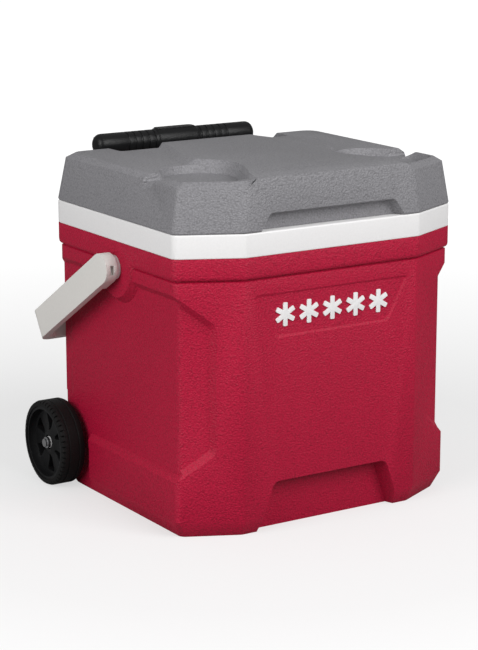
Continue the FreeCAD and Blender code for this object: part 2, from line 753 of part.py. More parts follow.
def cut_lid_top(body):
    for sign in (1, -1):
        cup = new_sketch(body, "XY_Plane", "peak_z")
        circle(cup, f"{sign} * cup_x", "front_y + cup_from_front", "cup_radius")
        pocket(body, cup, "cup_depth + lid_crown")
        drain = new_sketch(body, "XY_Plane", "peak_z")
        ends = (f"{sign} * cup_x", f"{sign} * side_x")
        left, right = ends if sign > 0 else reversed(ends)
        polygon(drain, rectangle(left, "front_y + cup_from_front - drain_width / 2", right,
                                 "front_y + cup_from_front + drain_width / 2"))
        pocket(body, drain, "cup_depth + lid_crown")
    notch = new_sketch(body, "XY_Plane", "peak_z")
    polygon(notch, rectangle("-notch_half", "notch_y", "notch_half", "back_y + 1"))
    pocket(body, notch, "peak_z - ledge_z")
    grab = new_sketch(body, "XZ_Plane", "-front_y")
    polygon(grab, [("-grab_half", "lid_z - 1"), ("grab_half", "lid_z - 1"),
                   ("grab_half - grab_depth", "lid_z + grab_height"),
                   ("-(grab_half - grab_depth)", "lid_z + grab_height")])
    pocket(body, grab, "grab_depth")


def lid_space(gap="0"):
    """The hollow in the lid under the crown, clear of the finger recess and the notch."""
    front = f"front_y + grab_depth + lid_wall + ({gap})"
    side = f"side_x - lid_draft - 3 * lid_wall - ({gap})"
    back = f"notch_y - lid_wall - ({gap})"
    right = [("grab_half", front), (side, f"{front} + facet_depth"), (side, back)]
    return right + [(f"-({x})", y) for x, y in reversed(right)]


def rear_space(gap="0"):
    """The lower hollow under the notch's ledge."""
    side = f"side_x - lid_draft - 3 * lid_wall - ({gap})"
    return rectangle(f"-({side})", "notch_y - 2 * lid_wall", side, f"back_y - 2 * lid_wall - ({gap})")


def hollow_lid(body):
    main = new_sketch(body, "XY_Plane", "lid_z")
    polygon(main, lid_space())
    pocket(body, main, "shoulder_z - cup_depth - lid_wall - lid_z", back=True)
    rear = new_sketch(body, "XY_Plane", "lid_z")
    polygon(rear, rear_space())
    pocket(body, rear, "notch_height - lid_wall", back=True)


def make_lid_foam():
    body = new_body("lid_foam")
    main = new_sketch(body, "XY_Plane", "lid_z + panel_thickness + foam_gap")
    polygon(main, lid_space("foam_gap"))
    pad(body, main, "shoulder_z - cup_depth - lid_wall - lid_z - panel_thickness - 2 * foam_gap")
    rear = new_sketch(body, "XY_Plane", "lid_z + panel_thickness + foam_gap")
    polygon(rear, rear_space("foam_gap"))
    pad(body, rear, "notch_height - lid_wall - panel_thickness - 2 * foam_gap")
    return body


def make_lid_panel():
    """The white inner panel, with the plug that sits in the liner's opening."""
    body = new_body("lid_panel")
    sheet_main = new_sketch(body, "XY_Plane", "lid_z")
    polygon(sheet_main, lid_space("foam_gap"))
    pad(body, sheet_main, "panel_thickness")
    sheet_rear = new_sketch(body, "XY_Plane", "lid_z")
    polygon(sheet_rear, rear_space("foam_gap"))
    pad(body, sheet_rear, "panel_thickness")
    plug = new_sketch(body, "XY_Plane", "lid_z")
    rounded(plug, opening("plug_gap"), "opening_radius - plug_gap")
    pad(body, plug, "plug_depth", back=True)
    inside = new_sketch(body, "XY_Plane", "lid_z + panel_thickness")
    rounded(inside, opening("plug_gap + 2 * liner_wall"), "opening_radius - plug_gap - 2 * liner_wall")
    pocket(body, inside, "plug_depth")
    return body


def make_hinges():
    """Knuckles on the rim and on the lid, with a pin through each pair."""
    third = "hinge_width / 3"
    left = "hinge_x - hinge_width / 2"
    slack = "seam_gap"
    axis = ("hinge_y", "hinge_z")
    bore = rod("bracket_bore", (left, *axis), "x", "hinge_pin_radius", "hinge_width")
    knuckles = []
    for name, start in (("near", left), ("far", f"{left} + 2 * {third}")):
        knuckles.append(rod(f"{name}_knuckle", (start, *axis), "x", "knuckle_radius", third))
        knuckles.append(block(f"{name}_leg", (start, "back_y", "hinge_z - hinge_height - rim_height / 2"),
                              (third, "hinge_setback", "hinge_height + rim_height / 2")))
    pair("hinge_brackets", cut("bracket", fuse("bracket_solid", knuckles), bore))
    centre = f"{left} + {third} + {slack}"
    width = f"{third} - 2 * {slack}"
    leaf_knuckle = rod("leaf_knuckle", (centre, *axis), "x", "knuckle_radius", width)
    leaf_plate = block("leaf_plate", (centre, "back_y", "lid_z + leaf_foot"),
                       (width, "hinge_setback", "notch_height - leaf_foot"))
    leaf_bore = rod("leaf_bore", (centre, *axis), "x", "hinge_pin_radius + running_gap", width)
    pair("lid_hinge_leaves", cut("leaf", fuse("leaf_solid", [leaf_knuckle, leaf_plate]), leaf_bore))
    shaft = rod("pin_shaft", (left, *axis), "x", "hinge_pin_radius", "hinge_width")
    head = rod("pin_head", (f"{left} + hinge_width", *axis), "x", "1.6 * hinge_pin_radius",
               "pin_head_height")
    pair("hinge_pins", fuse("hinge_pin", [shaft, head]))


# ---- the bail

def make_bail():
    """A U of strap, drawn flat with its pivot on X, then turned to its rest angle."""
    body = new_body("bail_handle")
    outer = new_sketch(body, "XY_Plane")
    polygon(outer, rectangle("-arm_out", "-bail_width / 2", "arm_out", "bail_outer"))
    pad(body, outer, "bail_width", even=True)
    inner = new_sketch(body, "XY_Plane")
    polygon(inner, rectangle("-arm_in", "-bail_width", "arm_in", "bail_inner"))
    pocket(body, inner, "2 * bail_width", even=True)
    dress(body, "Fillet", "Radius", "bail_corner",
          upright_at([("arm_out", "bail_outer"), ("-arm_out", "bail_outer")]))
    dress(body, "Fillet", "Radius", "bail_corner - bail_thickness",
          upright_at([("arm_in", "bail_inner"), ("-arm_in", "bail_inner")]))
    hub_ends = number("-bail_width / 2")

    def hub_edge(edge):
        middle = edge.CenterOfMass
        return abs(middle.y - hub_ends) < 0.01 and along(edge, FreeCAD.Vector(1, 0, 0))
    dress(body, "Fillet", "Radius", "bail_width / 2 - 0.01", hub_edge)
    for sign in (1, -1):
        thin_arm(body, sign)
    turn = FreeCAD.Rotation(FreeCAD.Vector(-1, 0, 0), 1)
    body.Placement = FreeCAD.Placement(FreeCAD.Vector(), turn)
    bind(body, "Placement.Rotation.Angle", "bail_rest_angle")
    return placed(body, "0", "pivot_y", "pivot_height")


def thin_arm(body, sign):
    """The thin strap of one arm between hub and cross bar, and the hub's socket."""
    side = new_sketch(body, "YZ_Plane", f"{sign} * arm_in")
    polygon(side, rectangle("bail_width / 2 + thin_from_hub", "-bail_width",
                            "bail_inner - thin_from_bar", "bail_width"))
    pocket(body, side, "bail_relief", back=sign > 0)
    socket = new_sketch(body, "YZ_Plane", f"{sign} * arm_in")
    circle(socket, "0", "0", "pivot_pin_radius + running_gap")
    pocket(body, socket, "hub_socket", back=sign > 0)


def make_bail_pins():
    """The pins that carry the bail, hidden in its hubs, and a washer behind each arm."""
    axis = ("pivot_y", "pivot_height")
    inside = "side_x - cavity_inset"
    end = "arm_in + hub_socket - pin_play"
    pair("bail_pins", rod("bail_pin", (inside, *axis), "x", "pivot_pin_radius", f"{end} - ({inside})"))
    pair("bail_washers", ring("washer", ("side_x", *axis), "x", "2 * pivot_pin_radius",
                              "pivot_pin_radius + running_gap", "bail_gap - seam_gap"))


# ---- the pull handle

def tube(name, radius, low, length):
    return pair(name, ring(name + "_one", ("tube_x", "tube_y", low), "z", radius,
                           f"({radius}) - tube_wall", length))


def make_tubes():
    tube("outer_tubes", "tube_radius", "tube_bottom", "tube_length")
    tube("middle_tubes", "middle_radius", "tube_bottom + stage_step",
         "middle_top - tube_bottom - stage_step + collar_tall")
    tube("upper_tubes", "upper_radius", "tube_bottom + 2 * stage_step",
         "grip_bottom - tube_bottom - 2 * stage_step + socket_depth")


def collar_blocks(name, low, bore):
    """A collar on each tube, no thicker towards the bail than the tube itself."""
    solid = block(name + "_solid", ("tube_x - collar_half", "tube_y - tube_radius", low),
                  ("2 * collar_half", "2 * tube_radius", "collar_tall"))
    hole = rod(name + "_hole", ("tube_x", "tube_y", low), "z", bore, "collar_tall")
    return cut(name + "_one", solid, hole)


def make_collars():
    outer = collar_blocks("outer_collar", "outer_top", "middle_radius + tube_slack")
    pair("outer_collars", outer)
    middle = collar_blocks("middle_collar", "middle_top", "middle_radius")
    bar = block("middle_bar", ("-(tube_x - collar_half)", "tube_y - tube_radius", "middle_top"),
                ("2 * (tube_x - collar_half)", "2 * tube_radius", "collar_tall"))
    fuse("middle_bridge", [middle, mirrored("middle_collar_twin", middle), bar])


def make_carriage():
    """The black bracket that ties the tubes and the axle to the body's back."""
    wide = "tube_x + tube_radius + carriage_wall"
    inner = "tube_x - tube_radius - carriage_wall"
    tall = "carriage_top - carriage_bottom"
    solid = block("carriage_block", (f"-({wide})", "back_y", "carriage_bottom"),
                  (f"2 * ({wide})", "half_depth - back_y", tall))
    window = block("carriage_window", (f"-({inner})", "back_y + carriage_wall", "carriage_bottom - 1"),
                   (f"2 * ({inner})", "half_depth - back_y", f"{tall} + 2"))
    holes = []
    for name, place in (("right", "tube_x"), ("left", "-tube_x")):
        holes.append(rod(f"{name}_socket", (place, "tube_y", "tube_bottom"), "z", "tube_radius",
                         "carriage_top - tube_bottom + 1"))
        holes.append(block(f"{name}_pocket",
                           (f"{place} - tube_radius", "back_y + carriage_wall", "carriage_bottom - 1"),
                           ("2 * tube_radius", "tube_y - tube_radius - back_y - 2 * carriage_wall",
                            f"{tall} - carriage_wall + 1")))
    ears = []
    for name, place in (("right", f"{wide} - ear_thickness"), ("left", f"-({wide})")):
        ears.append(block(f"{name}_ear", (place, "tunnel_y + 1", "carriage_bottom"),
                          ("ear_thickness", "back_y - tunnel_y - 1",
                           "wheel_radius + ear_over_axle - carriage_bottom")))
    bore = rod("carriage_bore", (f"-({wide}) - 1", "wheel_y", "wheel_radius"), "x",
               "axle_radius", f"2 * ({wide}) + 2")
    whole = fuse("carriage_solid", [cut("carriage_frame", solid, window)] + ears)
    cut("rear_carriage", whole, fuse("carriage_cuts", holes + [bore]))
    screws = []
    for name, height in (("high", "carriage_top - screw_below_top"),
                         ("low", "carriage_bottom + screw_above_low")):
        screw = rod(f"{name}_screw", (f"{inner} - screw_inset", "back_y + carriage_wall", height),
                    "y", "screw_radius", "screw_head")
        screws += [screw, mirrored(f"{name}_screw_twin", screw)]
    group("carriage_screws", screws)


def make_grip():
    """The grip bar with round ends, its two sockets and the button's pocket."""
    bar = rod("grip_bar", ("-(grip_half - grip_radius)", "grip_y", "grip_z"), "x", "grip_radius",
              "2 * (grip_half - grip_radius)")
    ends = []
    for name, sign in (("right", 1), ("left", -1)):
        ball = doc.addObject("Part::Sphere", f"{name}_end")
        bind(ball, "Radius", "grip_radius")
        ends.append(placed(ball, f"{sign} * (grip_half - grip_radius)", "grip_y", "grip_z"))
    sockets = []
    holes = []
    for name, place in (("right", "tube_x"), ("left", "-tube_x")):
        sockets.append(block(f"{name}_bracket", (f"{place} - socket_width / 2", "grip_y", "grip_bottom"),
                             ("socket_width", "half_depth - grip_y", "1.4 * grip_radius")))
        holes.append(rod(f"{name}_hole", (place, "tube_y", "grip_bottom"), "z", "upper_radius",
                         "socket_depth"))
    well = block("button_well",
                 ("-(button_half + button_slack)", "grip_y - button_width / 2 - button_slack",
                  "grip_z + well_rise"),
                 ("2 * (button_half + button_slack)", "button_width + 2 * button_slack", "grip_radius"))
    cut("grip", fuse("grip_solid", [bar] + ends + sockets), fuse("grip_cuts", holes + [well]))


def make_button():
    """The release button over its spring, and the pins that it frees."""
    cap = block("button_cap", ("-button_half", "grip_y - button_width / 2", "grip_z + button_foot"),
                ("2 * button_half", "button_width", "grip_radius - button_foot + button_rise"))
    button = doc.addObject("Part::Fillet", "release_button")
    button.Base = cap
    doc.recompute()
    top = number("grip_z + grip_radius + button_rise")
    round_edge = number("button_edge")
    edges = [i for i, e in enumerate(cap.Shape.Edges, start=1) if abs(e.CenterOfMass.z - top) < 0.01]
    button.Edges = [(i, round_edge, round_edge) for i in edges]
    ring("button_spring", ("0", "grip_y", "grip_z + well_rise"), "z", "spring_radius",
         "spring_radius - spring_wall", "button_foot - well_rise")
    reach = "sqrt((upper_radius - tube_wall)^2 - lock_pin_radius^2) - lock_pin_play"
    pins = rod("lock_pin", (f"tube_x - ({reach})", "tube_y", "tube_bottom + lock_pin_rise"),
               "x", "lock_pin_radius", f"2 * ({reach})")
    pair("lock_pins", pins)


# ---- the wheels

def ring_of_cuts(body, cut_feature, count):
    """Repeats a cut round the body's own X axis."""
    before = body.Shape.Volume
    pattern = body.newObject("PartDesign::PolarPattern", "Pattern")
    pattern.Originals = [cut_feature]
    pattern.Axis = (plane_of(body, "X_Axis"), [""])
    pattern.Angle = 360
    pattern.Occurrences = count
    body.Tip = pattern
    doc.recompute()
    if pattern.Shape.Volume > before - 1:
        raise ValueError(f"{body.Label}: the pattern cuts nothing")


def on_axle(body):
    """A piece drawn about its own X axis goes onto the axle."""
    return placed(body, "0", "wheel_y", "wheel_radius")


def make_wheel():
    """A dished wheel with windows between its spokes."""
    wheel = new_body("wheel_right")
    rim = "wheel_radius - tread_depth"
    disc = new_sketch(wheel, "YZ_Plane", "wheel_in + wheel_inlay")
    circle(disc, "0", "0", rim)
    pad(wheel, disc, "wheel_width - 2 * wheel_inlay")
    for face, back in (("wheel_out - wheel_inlay", False), ("wheel_in + wheel_inlay", True)):
        dish = new_sketch(wheel, "YZ_Plane", face)
        circle(dish, "0", "0", f"{rim} - dish_rim")
        pocket(wheel, dish, "dish_depth", back=back)
    hub = new_sketch(wheel, "YZ_Plane", "hub_in")
    circle(hub, "0", "0", "hub_radius")
    pad(wheel, hub, "hub_out - hub_in")
    bore = new_sketch(wheel, "YZ_Plane", "hub_in - 1")
    circle(bore, "0", "0", "bush_radius")
    pocket(wheel, bore, "hub_out - hub_in + 2", back=True)
    window = new_sketch(wheel, "YZ_Plane", "wheel_in")
    low, high = "hub_radius + window_from_hub", f"{rim} - window_from_rim"
    polygon(window, [("-window_inner / 2", low), ("window_inner / 2", low),
                     ("window_outer / 2", high), ("-window_outer / 2", high)])
    ring_of_cuts(wheel, pocket(wheel, window, "wheel_width", back=True), WINDOWS)
    return on_axle(wheel)


def make_tyre():
    """The tread, turned with soft shoulders, with a row of lugs cut into the outer one."""
    tyre = new_body("tyre_right")
    section = new_sketch(tyre, "XZ_Plane")
    shoulder = "tread_depth / 2"
    polygon(section, [("wheel_in", "wheel_radius - tread_depth"),
                      ("wheel_out", "wheel_radius - tread_depth"),
                      ("wheel_out", f"wheel_radius - {shoulder}"),
                      (f"wheel_out - {shoulder} / 3", f"wheel_radius - {shoulder} / 3"),
                      (f"wheel_out - {shoulder}", "wheel_radius"),
                      (f"wheel_in + {shoulder}", "wheel_radius"),
                      (f"wheel_in + {shoulder} / 3", f"wheel_radius - {shoulder} / 3"),
                      ("wheel_in", f"wheel_radius - {shoulder}")])
    turned = tyre.newObject("PartDesign::Revolution", "Revolution")
    turned.Profile = section
    turned.ReferenceAxis = (plane_of(tyre, "X_Axis"), [""])
    turned.Angle = 360
    doc.recompute()
    lug = new_sketch(tyre, "YZ_Plane", "wheel_out + 1")
    polygon(lug, rectangle("-lug_width / 2", "wheel_radius - lug_height", "lug_width / 2",
                           "wheel_radius + 1"))
    ring_of_cuts(tyre, pocket(tyre, lug, "lug_depth + 1"), LUGS)
    return on_axle(tyre)


def make_wheels():
    tyre = make_tyre()
    wheel = make_wheel()
    mirrored("wheel_left", wheel)
    mirrored("tyre_left", tyre)
    axis = ("wheel_y", "wheel_radius")
    bush = ring("bush_right", ("hub_in", *axis), "x", "bush_radius", "axle_radius + running_gap",
                "hub_out - hub_in")
    mirrored("bush_left", bush)
    end = "hub_out + axle_past"
    rod("axle", (f"-({end})", *axis), "x", "axle_radius", f"2 * ({end})")
    nut = ring("nut", ("hub_out + seam_gap", *axis), "x", "axle_radius + nut_wall", "axle_radius",
               "nut_width")
    pair("axle_nuts", nut)
    spacer = ring("spacer", ("well_floor", *axis), "x", "axle_radius + nut_wall",
                  "axle_radius + running_gap", "hub_in - seam_gap - well_floor")
    pair("axle_spacers", spacer)


NODES = [
    "body_shell", "liner", "body_foam", "front_emblem", "hinge_brackets", "hinge_pins",
    "lid_shell", "lid_foam", "lid_panel", "lid_hinge_leaves",
    "bail_handle", "bail_pins", "bail_washers",
    "rear_carriage", "carriage_screws", "outer_tubes", "outer_collars",
    "middle_tubes", "middle_bridge", "upper_tubes", "lock_pins",
    "grip", "release_button", "button_spring",
    "axle", "axle_nuts", "axle_spacers",
    "wheel_left", "wheel_right", "tyre_left", "tyre_right", "bush_left", "bush_right",
]


def build():
    make_body_shell()
    make_liner()
    make_body_foam()
    make_emblem()
    make_lid_shell()
    make_lid_foam()
    make_lid_panel()
    make_hinges()
    make_bail()
    make_bail_pins()
    make_tubes()
    make_collars()
    make_carriage()
    make_grip()
    make_button()
    make_wheels()
    doc.recompute()


def check():
    """Stops before anything is written if an object failed."""
    for item in doc.Objects:
        if "Invalid" in item.State or "Error" in item.State:
            raise ValueError(f"{item.Label} failed: {item.State}")
    for name in NODES:
        shape = doc.getObjectsByLabel(name)[0].Shape
        if shape.isNull() or not shape.isValid() or not shape.Solids:
            raise ValueError(f"{name} isn't a valid solid")


def write():
    os.makedirs("parts", exist_ok=True)
    for name in NODES:
        shape = doc.getObjectsByLabel(name)[0].Shape
        shape.exportStep(f"parts/{name}.step")
        print(f"{name}: {len(shape.Solids)} solid(s), {shape.Volume / 1000:.1f} cm3")


build()
check()
write()
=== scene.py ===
import bpy
import bmesh
import json
import math
from mathutils import Matrix, Vector


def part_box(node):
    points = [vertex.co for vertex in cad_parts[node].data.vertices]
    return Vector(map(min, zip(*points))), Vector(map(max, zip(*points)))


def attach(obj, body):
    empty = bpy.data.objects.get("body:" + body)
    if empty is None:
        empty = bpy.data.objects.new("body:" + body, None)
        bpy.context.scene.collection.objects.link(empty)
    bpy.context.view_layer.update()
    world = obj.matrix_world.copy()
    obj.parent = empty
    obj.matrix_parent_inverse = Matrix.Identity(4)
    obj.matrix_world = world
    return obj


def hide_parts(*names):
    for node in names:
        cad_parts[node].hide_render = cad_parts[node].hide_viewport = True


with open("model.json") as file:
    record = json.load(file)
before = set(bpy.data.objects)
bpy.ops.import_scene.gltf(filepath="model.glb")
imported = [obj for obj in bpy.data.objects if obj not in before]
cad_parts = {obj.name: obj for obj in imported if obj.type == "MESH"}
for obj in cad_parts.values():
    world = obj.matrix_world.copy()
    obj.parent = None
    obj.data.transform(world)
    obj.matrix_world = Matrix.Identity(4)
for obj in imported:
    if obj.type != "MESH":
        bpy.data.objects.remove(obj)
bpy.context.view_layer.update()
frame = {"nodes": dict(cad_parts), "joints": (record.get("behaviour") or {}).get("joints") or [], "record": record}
joints = {joint["name"]: joint for joint in frame["joints"]}


# places in millimetres, read from the frame
def millimetres(node):
    low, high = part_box(node)
    return low * 1000, high * 1000


def jointPlace(name):
    return Vector(joints[name]["pos_m"]) * 1000


linerLow, linerHigh = millimetres("liner")
shellHigh = millimetres("body_shell")[1]
lidLow, lidHigh = millimetres("lid_shell")
frontY, backY, sideX = linerLow.y, linerHigh.y, linerHigh.x
rimBottom, rimTop = shellHigh.z, linerHigh.z
pivot = jointPlace("bail_swing")
wheelPlace = jointPlace("right_wheel_spin")
tyreLow, tyreHigh = millimetres("tyre_right")
gripLow, gripHigh = millimetres("grip")
buttonLow, buttonHigh = millimetres("release_button")

wellAbove = 400  # a cutter this tall clears the whole cooler

view = {"target": (0, 2.7, 190), "distance": 2552, "yaw": 32.62, "pitch": 13.48,
        "lens": 116.8, "shift": (-0.0052, 0.0040)}

corners = {"facetWidth": 71.5, "facetDepth": 34.9, "facetRound": 9, "rearRound": 16}

shell = {"inset": 2.5, "footInset": 9.5, "footHeight": 19.3, "collarBottom": 296.7,
         "collarRound": 5, "grooveDepth": 4.5, "panelDepth": 6.5,
         "panelTop": 280, "panelBottom": 66, "panelRound": 14, "panelSlope": 9, "panelExtra": 1.5,
         "panelOverlap": 14, "coreBottom": 24, "coreBelowCollar": 6, "hollowGap": 8,
         "facetTop": 246, "facetBottom": 98, "facetRun": 46,
         "bossRadius": 35, "bossSkirt": 8, "wellRadius": 61, "wellDepth": 9,
         "handLow": 99, "handHigh": 78, "handTop": 59, "handDepth": 20,
         "badgeTop": 277.5, "badgeBottom": 226, "badgeTopHalf": 107, "badgeBottomHalf": 78,
         "badgeDepth": 1.5, "tunnelTop": 62, "tunnelInset": 12, "tunnelAhead": 15, "edge": 1.6}

tub = {"half": 142, "frontInset": 33, "length": 244, "round": 28, "floor": 92, "wall": 3,
       "edge": 1.2}

lid = {"wallTop": 399.3, "shoulder": 404.6, "sideDraft": 9, "frontDraft": 4.5, "facetDraft": 6.5,
       "bevel": 8, "cupX": 118, "cupFromFront": 97, "cupFootRadius": 41.5, "cupTopRadius": 48,
       "cupFloor": 395.6, "lipInset": 17, "drainRear": 114, "drainFront": 94, "drainTop": 78,
       "cutTop": 420, "spoutFloor": 390, "notchHalf": 120, "notchDepth": 41, "notchFloor": 370.8,
       "grabHalf": 98, "grabTopHalf": 85, "grabHeight": 20.5, "grabDepth": 13, "edge": 2.4}


# outlines and solids

def outline(side=0.0, front=None, back=None, facet=None):
    # six corners of the faceted plan, with each face moved inwards by its own amount
    front = side if front is None else front
    back = side if back is None else back
    facet = side if facet is None else facet
    run = math.hypot(corners["facetWidth"], corners["facetDepth"])
    normal = Vector((corners["facetDepth"] / run, -corners["facetWidth"] / run))
    reach = normal.dot(Vector((sideX, frontY + corners["facetDepth"]))) - facet
    x, y = sideX - side, frontY + front
    frontCorner = Vector(((reach - normal.y * y) / normal.x, y))
    sideCorner = Vector((x, (reach - normal.x * x) / normal.y))
    right = [frontCorner, sideCorner, Vector((x, backY - back))]
    return right + [Vector((-p.x, p.y)) for p in reversed(right)]


planRounds = [corners["facetRound"]] * 2 + [corners["rearRound"]] * 2 + [corners["facetRound"]] * 2


def roundedFace(bm, points, rounds, place, segments=6):
    # a flat face through points, its corners rounded, put in place by a function of (u, v)
    verts = [bm.verts.new(place(p[0], p[1])) for p in points]
    face = bm.faces.new(verts)
    count = len(points)
    for i, radius in enumerate(rounds):
        if radius <= 0:
            continue
        a, b, c = (Vector(points[(i + d) % count]) for d in (-1, 0, 1))
        turn = (b - a).angle(c - b)
        bmesh.ops.bevel(bm, geom=[verts[i]], offset=radius * math.tan(turn / 2),
                        offset_type="OFFSET", segments=segments, profile=0.5,
                        affect="VERTICES", clamp_overlap=False, material=-1)
    bm.faces.ensure_lookup_table()
    return bm.faces[-1] if not face.is_valid else face


def level(z):
    return lambda u, v: (u, v, z)


def ringStack(rings, rounds):
    # a closed solid through flat rings, each (corner points, height)
    bm = bmesh.new()
    faces = [roundedFace(bm, points, rounds, level(z)) for points, z in rings]
    for low, high in zip(faces, faces[1:]):
        bmesh.ops.bridge_loops(bm, edges=list(low.edges) + list(high.edges))
    bmesh.ops.delete(bm, geom=faces[1:-1], context="FACES_ONLY")
    bmesh.ops.recalc_face_normals(bm, faces=bm.faces)
    return bm


def prism(points, rounds, place, push, segments=6):
    # a flat rounded outline pushed along a vector
    bm = bmesh.new()
    face = roundedFace(bm, points, rounds, place, segments)
    grown = bmesh.ops.extrude_face_region(bm, geom=[face])["geom"]
    moved = [g for g in grown if isinstance(g, bmesh.types.BMVert)]
    bmesh.ops.translate(bm, verts=moved, vec=push)
    bmesh.ops.recalc_face_normals(bm, faces=bm.faces)
    return bm


def sunkPanel(points, rounds, place, outward, depth, slope, proud=6, segments=6):
    # a cutter for a panel: its wall slopes in by slope over depth, and it stands proud
    bm = bmesh.new()
    face = roundedFace(bm, points, rounds, place, segments)
    face.normal_update()
    if face.normal.dot(outward) < 0:
        face.normal_flip()
    grown = bmesh.ops.extrude_face_region(bm, geom=[face])["geom"]
    moved = [g for g in grown if isinstance(g, bmesh.types.BMVert)]
    bmesh.ops.translate(bm, verts=moved, vec=outward * proud)
    bm.faces.ensure_lookup_table()
    floor = min((f for f in bm.faces if len(f.verts) > 4 or abs(f.normal.dot(outward)) > 0.9),
                key=lambda f: f.calc_center_median().dot(outward))
    bmesh.ops.inset_region(bm, faces=[floor], thickness=slope, depth=0, use_even_offset=True)
    bmesh.ops.translate(bm, verts=list(floor.verts), vec=-outward * depth)
    bmesh.ops.recalc_face_normals(bm, faces=bm.faces)
    return bm


def cylinder(centre, axis, radiusLow, radiusHigh, length, segments=64):
    # a cylinder or cone centred on a point, along X, Y or Z
    bm = bmesh.new()
    turn = {"x": Matrix.Rotation(math.pi / 2, 4, "Y"), "y": Matrix.Rotation(-math.pi / 2, 4, "X"),
            "z": Matrix.Identity(4)}[axis]
    bmesh.ops.create_cone(bm, cap_ends=True, segments=segments, radius1=radiusLow,
                          radius2=radiusHigh, depth=length,
                          matrix=Matrix.Translation(centre) @ turn)
    return bm


def mirrorX(bm):
    # a copy of a solid on the other side of the middle plane
    other = bm.copy()
    bmesh.ops.scale(other, vec=(-1, 1, 1), verts=other.verts)
    bmesh.ops.reverse_faces(other, faces=other.faces)
    return other


def asObject(bm, name):
    mesh = bpy.data.meshes.new(name)
    bm.to_mesh(mesh)
    bm.free()
    piece = bpy.data.objects.new(name, mesh)
    bpy.context.scene.collection.objects.link(piece)
    return piece


def combine(piece, tool, operation):
    # joins a solid to the piece, or cuts it away
    tool = asObject(tool, "tool") if isinstance(tool, bmesh.types.BMesh) else tool
    step = piece.modifiers.new("combine", "BOOLEAN")
    step.object = tool
    step.operation = operation
    step.solver = "EXACT"
    applyModifiers(piece)
    bpy.data.objects.remove(tool)


def cutBoth(piece, bm):
    combine(piece, mirrorX(bm), "DIFFERENCE")
    combine(piece, bm, "DIFFERENCE")


def applyModifiers(piece):
    graph = bpy.context.evaluated_depsgraph_get()
    done = bpy.data.meshes.new_from_object(piece.evaluated_get(graph))
    piece.modifiers.clear()
    old = piece.data
    piece.data = done
    bpy.data.meshes.remove(old)


def finishPiece(piece, body, material, replaces=(), edge=0.0, smoothAngle=32, segments=3):
    # softens the edges, goes to metres, and gives the piece its body, finish and material
    bm = bmesh.new()
    bm.from_mesh(piece.data)
    bmesh.ops.remove_doubles(bm, verts=bm.verts, dist=0.02)
    bmesh.ops.dissolve_limit(bm, angle_limit=math.radians(0.6), verts=bm.verts, edges=bm.edges)
    bmesh.ops.recalc_face_normals(bm, faces=bm.faces)
    bmesh.ops.scale(bm, vec=(0.001, 0.001, 0.001), verts=bm.verts)
    bm.to_mesh(piece.data)
    bm.free()
    if edge:
        soft = piece.modifiers.new("softEdges", "BEVEL")
        soft.width = edge * 0.001
        soft.segments = segments
        soft.limit_method = "ANGLE"
        soft.angle_limit = math.radians(28)
        soft.miter_outer = "MITER_ARC"
        soft.use_clamp_overlap = True
        applyModifiers(piece)
    piece.data.shade_smooth()
    piece.data.set_sharp_from_angle(angle=math.radians(smoothAngle))
    piece.data.materials.clear()
    piece.data.materials.append(material)
    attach(piece, body)
    if replaces:
        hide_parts(*replaces)
    return piece


# materials

